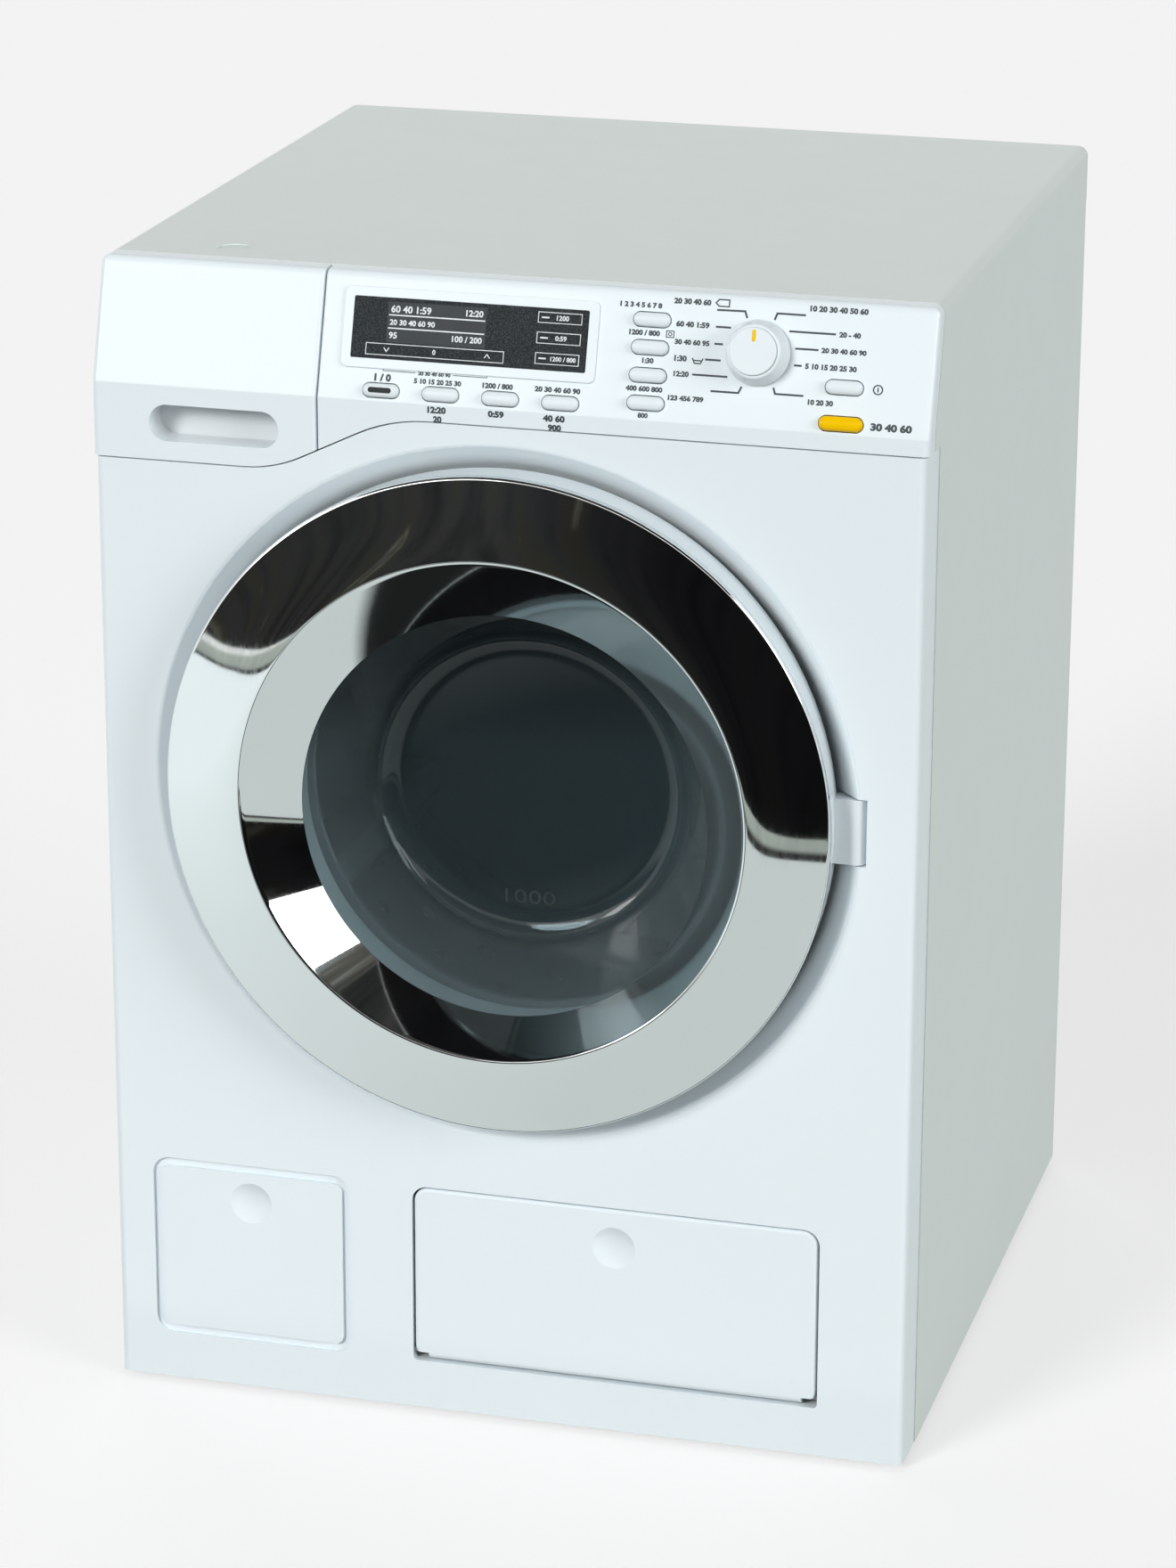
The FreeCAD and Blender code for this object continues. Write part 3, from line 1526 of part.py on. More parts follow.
def cell_places():
    first = -cell_pitch * (cell_count - 1) / 2
    return [first + cell_pitch * index for index in range(cell_count)]


def make_battery_box():
    half = battery_half
    w = battery_box_wall
    box = block(-half - w, half + w, battery_front - w, panel_front, battery_low - w, battery_high + w)
    box = box.cut(block(-half, half, battery_front, back_y, battery_low, battery_high))
    boss_room = case_post_radius + running_gap
    return box.cut(rod_y(boss_room, 0, battery_screw_z, battery_front - overrun, back_y))


def make_batteries():
    start = battery_low + contact_thickness
    end = start + cell_length
    cells = []
    for x in cell_places():
        foot = vec(x, cell_axis_y, start)
        can = rod(cell_radius, foot, vec(x, cell_axis_y, end))
        cap = rod(cell_cap_radius, foot, vec(x, cell_axis_y, end + cell_cap_height))
        cells.append(joined([can, cap]))
    return Part.makeCompound(cells)


def make_battery_contacts():
    y = cell_axis_y
    s = contact_size / 2
    plates = []
    for x in cell_places():
        for z in (battery_low, battery_high - contact_thickness):
            plates.append(block(x - s, x + s, y - s, y + s, z, z + contact_thickness))
    return Part.makeCompound(plates)


def make_battery_cover():
    """cover flush with the back panel, with a screw tab on its upper edge"""
    g = battery_cover_gap
    half = battery_half - g
    front = back_y - cover_wall / 2
    plate = block(-half, half, front, back_y, battery_low + g, battery_high - g)
    tab_half = battery_tab_width / 2 - g
    tab_high = battery_high + battery_tab_height - g
    tab = block(-tab_half, tab_half, front, back_y, battery_high - battery_cover_rim, tab_high)
    cover = joined([plate, tab]).cut(screw_hole(0, battery_screw_z, panel_front, back_y + overrun))
    return cover.cut(sunk_head(0, battery_screw_z, pin_clearance))


def make_battery_screw():
    return back_screw(0, battery_screw_z)


def make_case_screws():
    return Part.makeCompound([back_screw(x, z) for x, z in case_screw_places()])


def make_speaker():
    rim_front = panel_front - speaker_rim_height
    rim = rod_y(speaker_radius, speaker_x, speaker_z, rim_front, panel_front)
    magnet_front = panel_front - speaker_magnet_height
    magnet = rod_y(speaker_magnet_radius, speaker_x, speaker_z, magnet_front, rim_front)
    return joined([rim, magnet])


pieces = {
    "cabinet": make_cabinet(),
    "back_panel": make_back_panel(),
    "top_cover": make_top_cover(),
    "front_panel": make_front_panel(),
    "control_fascia": make_control_fascia(),
    "feet": make_feet(),
    "case_screws": make_case_screws(),
    "door_frame": make_door_frame(),
    "door_chrome_ring": make_door_chrome_ring(),
    "door_bowl": make_door_bowl(),
    "door_screws": make_door_screws(),
    "hinge_pin": make_hinge_pin(),
    "latch_hook": make_latch_hook(),
    "latch_slide": make_latch_slide(),
    "door_seal": make_door_seal(),
    "wash_tub": make_wash_tub(),
    "tub_screws": make_tub_screws(),
    "drum": make_drum(),
    "drum_lifters": make_drum_lifters(),
    "drum_shaft": make_drum_shaft(),
    "drum_bush": make_drum_bush(),
    "drum_gear": make_drum_gear(),
    "idler_gear": make_idler_gear(),
    "idler_axle": make_idler_axle(),
    "gear_plate": make_gear_plate(),
    "drive_motor": make_drive_motor(),
    "motor_shaft": make_motor_shaft(),
    "motor_pinion": make_motor_pinion(),
    "keypad_membrane": make_keypad_membrane(),
    "control_board": make_control_board(),
    "board_screws": make_board_screws(),
    "display_window": make_display_window(),
    "program_knob": make_program_knob(),
    "knob_cap": make_knob_cap(),
    "knob_pointer": make_knob_pointer(),
    "click_wheel": make_click_wheel(),
    "click_spring": make_click_spring(),
    "drawer_front": make_drawer_front(),
    "drawer_tray": make_drawer_tray(),
    "drawer_housing": make_drawer_housing(),
    "dosing_flap": make_dosing_flap(),
    "flap_pin": make_flap_pin(),
    "dosing_bin": make_dosing_bin(),
    "battery_box": make_battery_box(),
    "batteries": make_batteries(),
    "battery_contacts": make_battery_contacts(),
    "battery_cover": make_battery_cover(),
    "battery_screw": make_battery_screw(),
    "speaker": make_speaker(),
}
for key_name, key_x, key_up, width, height in key_table():
    key = make_door_key() if key_name == "door_key" else make_key(key_x, key_up, width, height)
    pieces[key_name] = on_slope(key)

os.makedirs("parts", exist_ok=True)
for name, shape in pieces.items():
    shape.exportStep("parts/" + name + ".step")
print(len(pieces), "pieces written")
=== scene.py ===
import json
import math

import bmesh
import bpy
import numpy as np
from mathutils import Matrix, Vector


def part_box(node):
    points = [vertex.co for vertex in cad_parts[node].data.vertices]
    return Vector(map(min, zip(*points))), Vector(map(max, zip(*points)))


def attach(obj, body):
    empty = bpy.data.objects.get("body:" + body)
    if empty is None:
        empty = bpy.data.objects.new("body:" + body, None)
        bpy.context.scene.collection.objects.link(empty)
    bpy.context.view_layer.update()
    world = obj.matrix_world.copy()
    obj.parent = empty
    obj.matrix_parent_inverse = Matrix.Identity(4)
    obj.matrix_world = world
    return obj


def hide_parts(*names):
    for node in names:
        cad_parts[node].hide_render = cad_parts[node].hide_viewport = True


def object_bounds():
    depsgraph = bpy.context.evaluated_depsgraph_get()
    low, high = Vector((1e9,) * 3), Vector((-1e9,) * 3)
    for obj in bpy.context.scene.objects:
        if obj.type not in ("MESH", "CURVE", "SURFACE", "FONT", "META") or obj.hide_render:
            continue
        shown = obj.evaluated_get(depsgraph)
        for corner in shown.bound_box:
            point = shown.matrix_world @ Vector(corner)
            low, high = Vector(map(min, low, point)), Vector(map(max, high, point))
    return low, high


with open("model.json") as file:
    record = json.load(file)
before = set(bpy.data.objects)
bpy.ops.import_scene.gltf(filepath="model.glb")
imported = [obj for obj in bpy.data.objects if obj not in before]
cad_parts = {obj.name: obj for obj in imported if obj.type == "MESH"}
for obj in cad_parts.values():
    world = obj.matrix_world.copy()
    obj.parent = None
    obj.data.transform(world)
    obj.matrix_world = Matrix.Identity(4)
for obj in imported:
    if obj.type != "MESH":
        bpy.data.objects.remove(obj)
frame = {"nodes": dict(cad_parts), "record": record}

# Toy washing machine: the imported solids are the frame; shiny, dished and printed pieces are made here.
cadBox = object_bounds()
scene = bpy.context.scene
nodes = frame["nodes"]
mm = 0.001

# Places read from the frame, in metres
machine = {"slopeLean": 17.4, "slopeHeight": 26.2}          # degrees, mm below the top
ringLo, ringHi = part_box("door_chrome_ring")
bowlLo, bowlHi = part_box("door_bowl")
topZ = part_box("top_cover")[1].z
frontY = bowlLo.y                                            # plane of the front panel
creaseZ = topZ - machine["slopeHeight"] * mm
doorZ = (ringLo.z + ringHi.z) / 2
washZ = (bowlLo.z + bowlHi.z) / 2
lean = math.radians(machine["slopeLean"])
leanSin, leanCos = math.sin(lean), math.cos(lean)
slopeAxes = np.array([[1, 0, 0], [0, leanSin, leanCos], [0, -leanCos, leanSin]])
frontAxes = np.array([[1, 0, 0], [0, 0, 1], [0, -1, 0]], float)
backAxes = np.array([[1, 0, 0], [0, 0, 1], [0, 1, 0]], float)
creaseOrigin = np.array([0, frontY, creaseZ])


# mesh tools

# points (across, up, stand) in mm on the sloping face, or on the upright one below its crease, go to the
# frame's metres
def onFace(local, axes=slopeAxes):
    return np.asarray(local, float) * mm @ axes + creaseOrigin


# quads of a grid of rows x columns, either way closed on itself
def gridFaces(rows, columns, wrapRows=False, wrapColumns=False):
    rowSpan, columnSpan = np.arange(rows - (not wrapRows)), np.arange(columns - (not wrapColumns))
    i, j = np.meshgrid(rowSpan, columnSpan, indexing="ij")
    here, below = i * columns, (i + 1) % rows * columns
    nextColumn = (j + 1) % columns
    return np.stack([here + j, here + nextColumn, below + nextColumn, below + j], -1).reshape(-1, 4)


# sixth of the summed triple products of each quad's two triangles: negative means inside out
def signedVolume(points, faces):
    a, b, c, d = (points[faces[:, k]] for k in range(4))
    return (a * (np.cross(b, c) + np.cross(c, d))).sum() / 6


# metres within which points are one point, and edges have no length
weld = {"points": 1e-7, "edges": 1e-8}


# several closed shells of quads become one object, poles merged and faces outwards
def makePiece(name, shells, material, body, sharpAngle=35):
    allPoints, allFaces, count = [], [], 0
    for points, faces in shells:
        centred = points - points.mean(0)
        faces = faces[:, ::-1] if signedVolume(centred, faces) < 0 else faces
        allPoints.append(points)
        allFaces.append(faces + count)
        count += len(points)
    mesh = bpy.data.meshes.new(name)
    mesh.from_pydata(np.concatenate(allPoints).tolist(), [], np.concatenate(allFaces).tolist())
    return finishPiece(name, mesh, material, body, sharpAngle)


def finishPiece(name, mesh, material, body, sharpAngle=35):
    work = bmesh.new()
    work.from_mesh(mesh)
    bmesh.ops.remove_doubles(work, verts=work.verts, dist=weld["points"])
    bmesh.ops.dissolve_degenerate(work, edges=work.edges, dist=weld["edges"])
    work.to_mesh(mesh)
    work.free()
    mesh.polygons.foreach_set("use_smooth", np.ones(len(mesh.polygons), bool))
    mesh.set_sharp_from_angle(angle=math.radians(sharpAngle))
    mesh.materials.append(material)
    mesh.update()
    piece = bpy.data.objects.new(name, mesh)
    scene.collection.objects.link(piece)
    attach(piece, body)
    return piece


# an open path of corners (two columns) with each corner rounded by its radius: every arc runs from tangent
# point to tangent point about the circle's centre, and long straight runs get a few points of their own
runShares = np.array([0.04, 0.2, 0.4, 0.6, 0.8, 0.96])[:, None]


def roundedPath(corners, radii, arcSteps=8, longRun=2.0):
    corners = np.asarray(corners, float)
    stops = [corners[:1]]
    for before, here, after, radius in zip(corners, corners[1:], corners[2:], radii):
        back, ahead = before - here, after - here
        back, ahead = back / np.linalg.norm(back), ahead / np.linalg.norm(ahead)
        half = math.acos(np.clip(back @ ahead, -1, 1)) / 2
        if radius <= 0:
            stops.append(here[None])
            continue
        centre = here + (back + ahead) / np.linalg.norm(back + ahead) * radius / math.sin(half)
        start, end = here + back * radius / math.tan(half), here + ahead * radius / math.tan(half)
        t = np.linspace(0, 1, arcSteps + 1)[:, None]
        sweep = math.pi - 2 * half
        arc = np.sin((1 - t) * sweep) * (start - centre) + np.sin(t * sweep) * (end - centre)
        stops.append(centre + arc / math.sin(sweep))
    stops.append(corners[-1:])
    path = [stops[0]]
    for arc in stops[1:]:
        run = arc[0] - path[-1][-1]
        if np.linalg.norm(run) > longRun:
            path.append(path[-1][-1] + runShares * run)
        path.append(arc)
    return np.concatenate(path)


# a profile of (radius, stand) turned about an upright axis in its own plane: across and up are the cosine
# and sine of the angle times the radius, lowered by drop
def turnedShell(profile, steps, drop=0.0, wrapProfile=False):
    angle = np.linspace(0, 2 * math.pi, steps, endpoint=False)
    radius, stand = profile[:, :1], profile[:, 1:]
    across, up = radius * np.cos(angle), radius * np.sin(angle) - np.reshape(drop, (-1, 1))
    grid = np.stack(np.broadcast_arrays(across, up, stand), -1)
    return grid.reshape(-1, 3), gridFaces(len(profile), steps, wrapProfile, True)


# two half circles joined by straight sides; each profile point (inset, stand) shrinks the outline by its
# inset
def pillShell(width, height, profile, steps=16):
    angle = np.concatenate([np.linspace(-90, 90, steps), np.linspace(90, 270, steps)])
    side = np.repeat([1, -1], steps) * (width - height) / 2
    angle = np.radians(angle)
    radius = height / 2 - profile[:, :1]
    grid = np.broadcast_arrays(side + radius * np.cos(angle), radius * np.sin(angle), profile[:, 1:])
    return np.stack(grid, -1).reshape(-1, 3), gridFaces(len(profile), 2 * steps, False, True)


# a flat stroke: the path's mitred left and right edges, at a low and a high stand
def strokeShell(path, width, low, high, closed=False):
    path = np.asarray(path, float)
    ahead, back = np.roll(path, -1, 0) - path, path - np.roll(path, 1, 0)
    if not closed:
        ahead[-1], back[0] = back[-1], ahead[0]
    ahead, back = (v / np.linalg.norm(v, axis=1, keepdims=True) for v in (ahead, back))
    tangent = ahead + back
    tangent /= np.linalg.norm(tangent, axis=1, keepdims=True)
    normal = np.stack([-tangent[:, 1], tangent[:, 0]], 1)
    mitre = width / 2 / np.abs((tangent * ahead).sum(1, keepdims=True))
    left, right = path + normal * mitre, path - normal * mitre
    ring = [(left, low), (right, low), (right, high), (left, high)]
    grid = np.stack([np.column_stack([edge, np.full(len(path), stand)]) for edge, stand in ring], 1)
    faces = gridFaces(len(path), 4, closed, True)
    if not closed:
        last = 4 * (len(path) - 1)
        faces = np.concatenate([faces, [[3, 2, 1, 0]], [[last, last + 1, last + 2, last + 3]]])
    return grid.reshape(-1, 3), faces


# shader tools

# a node whose inputs, by name or number, are set to values or linked to sockets
def addNode(tree, kind, inputs=None):
    node = tree.nodes.new("ShaderNode" + kind)
    for name, value in (inputs or {}).items():
        if isinstance(value, bpy.types.NodeSocket):
            tree.links.new(value, node.inputs[name])
        else:
            node.inputs[name].default_value = value
    return node


def placeOf(tree):
    return addNode(tree, "TexCoord").outputs["Object"]


def newMaterial(name):
    material = bpy.data.materials.new(name)
    material.use_nodes = True
    tree = material.node_tree
    return material, tree, tree.nodes["Principled BSDF"], placeOf(tree)


# the X, Y and Z of a place
def axesOf(tree, place):
    return addNode(tree, "SeparateXYZ", {0: place}).outputs


def stretched(tree, place, stretch):
    return addNode(tree, "Mapping", {"Vector": place, "Scale": stretch}).outputs["Vector"]


# size in mm
def noiseOf(tree, place, size, detail=2.0, rough=0.5):
    inputs = {"Vector": place, "Scale": 1 / (size * mm), "Detail": detail, "Roughness": rough}
    return addNode(tree, "TexNoise", inputs).outputs["Fac"]


def colourRamp(tree, factor, stops):
    ramp = addNode(tree, "ValToRGB", {"Fac": factor})
    while len(ramp.color_ramp.elements) < len(stops):
        ramp.color_ramp.elements.new(0.5)
    for element, (position, colour) in zip(ramp.color_ramp.elements, stops):
        element.position = position
        element.color = (*colour, 1)
    return ramp.outputs["Color"]


def rangeOf(tree, factor, start, end, low, high):
    inputs = {"Value": factor, "From Min": start, "From Max": end, "To Min": low, "To Max": high}
    return addNode(tree, "MapRange", inputs).outputs["Result"]


# product of two numbers, or of two colours where kind is a vector node
def timesOf(tree, first, second, kind="Math"):
    product = addNode(tree, kind, {0: first, 1: second})
    product.operation = "MULTIPLY"
    return product.outputs[0]


# a noise lies mostly between these two values
noiseLow, noiseHigh = 0.3, 0.7


def colourBy(tree, shader, noise, low, high):
    ramp = colourRamp(tree, noise, ((noiseLow, low), (noiseHigh, high)))
    tree.links.new(ramp, shader.inputs["Base Color"])


def glossBy(tree, shader, noise, gloss):
    tree.links.new(rangeOf(tree, noise, noiseLow, noiseHigh, *gloss), shader.inputs["Roughness"])


def bumpBy(tree, shader, noise, depth, strength):
    bump = addNode(tree, "Bump", {"Height": noise, "Distance": depth * mm, "Strength": strength})
    tree.links.new(bump.outputs["Normal"], shader.inputs["Normal"])


# moulded plastic: colour drifts with a broad noise, gloss with a finer one, and a fine grain lifts the
# surface; sizes in mm, and a finish names only what differs from these values
plainPlastic = {"driftSize": 45, "glossSize": 9, "shine": 0.5, "grain": 0.15, "grainSize": 1.2,
                "grainDepth": 0.01}


def mouldedPlastic(name, ownFinish):
    finish = plainPlastic | ownFinish
    material, tree, shader, place = newMaterial(name)
    colour, drift = np.array(finish["colour"]), finish["drift"]
    broad, fine = (noiseOf(tree, place, finish[size], detail=3) for size in ("driftSize", "glossSize"))
    colourBy(tree, shader, broad, colour * (1 - drift), np.minimum(colour * (1 + drift), 1))
    glossBy(tree, shader, fine, finish["gloss"])
    shader.inputs["Specular IOR Level"].default_value = finish["shine"]
    if finish["grain"]:
        grain = noiseOf(tree, place, finish["grainSize"])
        bumpBy(tree, shader, grain, finish["grainDepth"], finish["grain"])
    return material


# bright metal: colour and gloss vary along a stretched noise that gives brushed or drawn lines
metalLines = {"dim": 0.86, "depth": 0.01, "bump": 0.1}


def drawnMetal(name, finish):
    material, tree, shader, place = newMaterial(name)
    lines = noiseOf(tree, stretched(tree, place, finish["lines"]), finish["lineSize"], detail=4)
    colour = np.array(finish["colour"])
    colourBy(tree, shader, lines, colour * metalLines["dim"], colour)
    glossBy(tree, shader, lines, finish["gloss"])
    shader.inputs["Metallic"].default_value = 1
    bumpBy(tree, shader, lines, metalLines["depth"], metalLines["bump"])
    return material


# finishes of the solids, by the record's slots

plastics = {
    "front_white": {"colour": (0.78, 0.855, 0.885), "gloss": (0.13, 0.17), "drift": 0.005, "grain": 0.02},
    # case_white: a greener white than the front, and darker still as painted shade, since its top and sides
    # get less light
    "case_white": {"colour": (0.668, 0.735, 0.708), "gloss": (0.285, 0.32), "drift": 0.006, "grain": 0,
                   "shine": 0.42},
    "door_white": {"colour": (0.775, 0.845, 0.875), "gloss": (0.14, 0.19), "drift": 0.005, "grain": 0.02},
    "rubber": {"colour": (0.035, 0.035, 0.036), "gloss": (0.6, 0.8), "drift": 0.2, "grain": 0.5},
    "silicone": {"colour": (0.66, 0.68, 0.685), "gloss": (0.5, 0.65), "drift": 0.06, "grain": 0.2},
    "tub_plastic": {"colour": (0.66, 0.69, 0.70), "gloss": (0.38, 0.5), "drift": 0.02, "grain": 0.2},
    "drum_grey": {"colour": (0.30, 0.315, 0.33), "gloss": (0.285, 0.38), "drift": 0.03, "grain": 0.12},
    "gear_plastic": {"colour": (0.74, 0.72, 0.66), "gloss": (0.35, 0.5), "drift": 0.03, "grain": 0.15},
    "key_grey": {"colour": (0.75, 0.816, 0.845), "gloss": (0.10, 0.15), "drift": 0.006, "grain": 0.02},
    "knob_white": {"colour": (0.745, 0.812, 0.84), "gloss": (0.13, 0.18), "drift": 0.006, "grain": 0.02},
    "signal_yellow": {"colour": (0.86, 0.52, 0.0), "gloss": (0.14, 0.20), "drift": 0.02, "grain": 0.02,
                      "shine": 0.15},
    "cell_jacket": {"colour": (0.06, 0.065, 0.075), "gloss": (0.285, 0.38), "drift": 0.3, "driftSize": 14},
}
metals = {
    "steel": {"colour": (0.60, 0.60, 0.61), "gloss": (0.285, 0.36), "lines": (1, 0.2, 1), "lineSize": 0.5},
    "shaft_steel": {"colour": (0.58, 0.58, 0.60), "gloss": (0.285, 0.34), "lines": (1, 8, 1),
                    "lineSize": 2},
    "motor_can": {"colour": (0.55, 0.55, 0.57), "gloss": (0.285, 0.40), "lines": (1, 0.08, 1),
                  "lineSize": 0.6},
}


# mirror plating: nearly smooth, with the faint waviness of plated plastic and a few hairline marks
plating = {"colour": (0.86, 0.875, 0.875), "dim": 0.985, "gloss": (0.025, 0.05), "waveSize": 18,
           "waveDepth": 0.25, "wave": 0.012, "hairSize": 0.5, "hairLines": (1, 1, 0.15)}


def brightPlating():
    material, tree, shader, place = newMaterial("brightPlating")
    wave = noiseOf(tree, place, plating["waveSize"])
    colour = np.array(plating["colour"])
    colourBy(tree, shader, wave, colour * plating["dim"], colour)
    hair = noiseOf(tree, stretched(tree, place, plating["hairLines"]), plating["hairSize"], detail=3)
    glossBy(tree, shader, hair, plating["gloss"])
    shader.inputs["Metallic"].default_value = 1
    bumpBy(tree, shader, wave, plating["waveDepth"], plating["wave"])
    return material


# clear dark plastic: light is tinted on its way through, more in the floor than in the wall, and a little
# scatters; towards the top the colour is darkened further as painted shade
windowTintAndShade = {
    "wall": (0.60, 0.71, 0.74), "floor": (0.24, 0.33, 0.36), "from": 20.5, "to": 24.5, "clear": 0.94,
    "shadeFrom": 8.0, "shadeTo": 36.0, "shade": 0.42, "gloss": (0.015, 0.04), "glossSize": 4, "ior": 1.45,
}


def tintedShadedWindow():
    material, tree, shader, place = newMaterial("tintedShadedWindow")
    axes = axesOf(tree, place)
    start, end = (frontY + windowTintAndShade[key] * mm for key in ("from", "to"))
    depth = rangeOf(tree, axes["Y"], start, end, 0, 1)
    tint = colourRamp(tree, depth, ((0, windowTintAndShade["wall"]), (1, windowTintAndShade["floor"])))
    # painted shade: the colour darkens towards the top of the window
    low, high = (washZ + windowTintAndShade[key] * mm for key in ("shadeFrom", "shadeTo"))
    shade = rangeOf(tree, axes["Z"], low, high, 1, windowTintAndShade["shade"])
    tree.links.new(timesOf(tree, tint, shade, "VectorMath"), shader.inputs["Base Color"])
    glossBy(tree, shader, noiseOf(tree, place, windowTintAndShade["glossSize"]), windowTintAndShade["gloss"])
    shader.inputs["Transmission Weight"].default_value = windowTintAndShade["clear"]
    shader.inputs["IOR"].default_value = windowTintAndShade["ior"]
    return material


# painted shade in the front's hollows: a greyer tint grows with the depth behind the front plane, below
# the sloping face and short of the outer sides
hollowShade = {"tint": (0.90, 0.865, 0.855), "from": 0.8, "to": 4.5, "below": 1.5, "sideFrom": 4.5,
          "sideTo": 2.5}


def paintHollowShade(material):
    tree = material.node_tree
    shader = tree.nodes["Principled BSDF"]
    plain = shader.inputs["Base Color"].links[0].from_socket
    axes = axesOf(tree, placeOf(tree))
    start, end = (frontY + hollowShade[key] * mm for key in ("from", "to"))
    depth = rangeOf(tree, axes["Y"], start, end, 0, 1)
    below = rangeOf(tree, axes["Z"], creaseZ - hollowShade["below"] * mm, creaseZ, 1, 0)
    aside = addNode(tree, "Math", {0: axes["X"]})
    aside.operation = "ABSOLUTE"
    edges = [cadBox[1].x - hollowShade[key] * mm for key in ("sideFrom", "sideTo")]
    share = timesOf(tree, timesOf(tree, depth, below), rangeOf(tree, aside.outputs[0], *edges, 1, 0))
    tint = colourRamp(tree, share, ((0, (1, 1, 1)), (1, hollowShade["tint"])))
    tree.links.new(timesOf(tree, plain, tint, "VectorMath"), shader.inputs["Base Color"])


# dark printed plate with a fine pale speckle
displayFinish = {
    "colour": (0.016, 0.020, 0.022), "speck": (0.055, 0.063, 0.068), "speckSize": 0.28, "speckFrom": 0.42,
    "speckTo": 0.72, "gloss": (0.42, 0.52), "glossSize": 6, "shine": 0.15,
}


def displayPlate():
    material, tree, shader, place = newMaterial("displayPlate")
    finish = displayFinish
    speck = noiseOf(tree, place, finish["speckSize"], detail=1)
    stops = [(finish["speckFrom"], finish["colour"]), (finish["speckTo"], finish["speck"])]
    tree.links.new(colourRamp(tree, speck, stops), shader.inputs["Base Color"])
    glossBy(tree, shader, noiseOf(tree, place, finish["glossSize"]), finish["gloss"])
    shader.inputs["Specular IOR Level"].default_value = finish["shine"]
    return material


# laminate with lighter copper paths under the lacquer: the joints of a brick pattern
laminate = {
    "paths": {"Scale": 90, "Color1": (0.012, 0.09, 0.035, 1), "Color2": (0.016, 0.11, 0.045, 1),
              "Mortar": (0.05, 0.20, 0.07, 1), "Mortar Size": 0.035},
    "gloss": (0.285, 0.4), "glossSize": 5,
}


def circuitLaminate():
    material, tree, shader, place = newMaterial("circuitLaminate")
    brick = addNode(tree, "TexBrick", laminate["paths"] | {"Vector": place})
    tree.links.new(brick.outputs["Color"], shader.inputs["Base Color"])
    glossBy(tree, shader, noiseOf(tree, place, laminate["glossSize"]), laminate["gloss"])
    return material


# printing ink: slightly uneven cover
inkCover = {"drift": 0.08, "driftSize": 2.5, "grainSize": 0.3, "grain": 0.05}
inkColour = {"dark": (0.055, 0.068, 0.075), "white": (0.74, 0.78, 0.80)}


def printInk(name, colour, gloss=(0.3, 0.45)):
    return mouldedPlastic(name, inkCover | {"colour": colour, "gloss": gloss})


slotMaterial = {slot: mouldedPlastic(slot, finish) for slot, finish in plastics.items()}
slotMaterial.update({slot: drawnMetal(slot, finish) for slot, finish in metals.items()})
# painted shade greys the front's hollows
paintHollowShade(slotMaterial["front_white"])
slotMaterial["bright_plating"] = brightPlating()
slotMaterial["tinted_window"] = tintedShadedWindow()
slotMaterial["display_black"] = displayPlate()
slotMaterial["circuit_board"] = circuitLaminate()
darkInk, whiteInk = (printInk(name + "Ink", colour) for name, colour in inkColour.items())
for part in frame["record"]["subparts"]:
    solid = nodes[part["node"]]
    solid.data.materials.clear()
    solid.data.materials.append(slotMaterial[part["material_slot"]])
print("finishes:", len(slotMaterial), "slots")


# door ring: a cone band that flattens inwards, a round ridge and a slanting funnel down to the window

doorRing = {
    "bandStand": 7.6, "ridgeInset": 17.9, "ridgeStand": 11.0, "windowInset": 28.6, "wall": 1.8,
    "flatFrom": 0.2, "flatShare": 0.75, "bandSteps": 24,
    "edgeRound": 0.8, "ridgeRound": 0.9, "backRound": 0.5, "steps": 288,
    "postInset": 10.5, "postRadius": 3.0, "postRoot": 8.2, "postEnd": -1.6, "postStart": 45,
    "postSteps": 24,
}


# the band's slope eases off by the square of the way in; its heights are the running sum of that slope
def bandPath(outer, ridge):
    ring = doorRing
    way = np.linspace(0, 1, ring["bandSteps"] + 1)
    ease = np.clip((way - ring["flatFrom"]) / (1 - ring["flatFrom"]), 0, 1)
    slope = 1 - ring["flatShare"] * ease ** 2
    rise = np.concatenate([[0], np.cumsum((slope[1:] + slope[:-1]) / 2)])
    rise *= (ring["ridgeStand"] - ring["bandStand"]) / rise[-1]
    return np.column_stack([outer + way * (ridge - outer), ring["bandStand"] + rise])


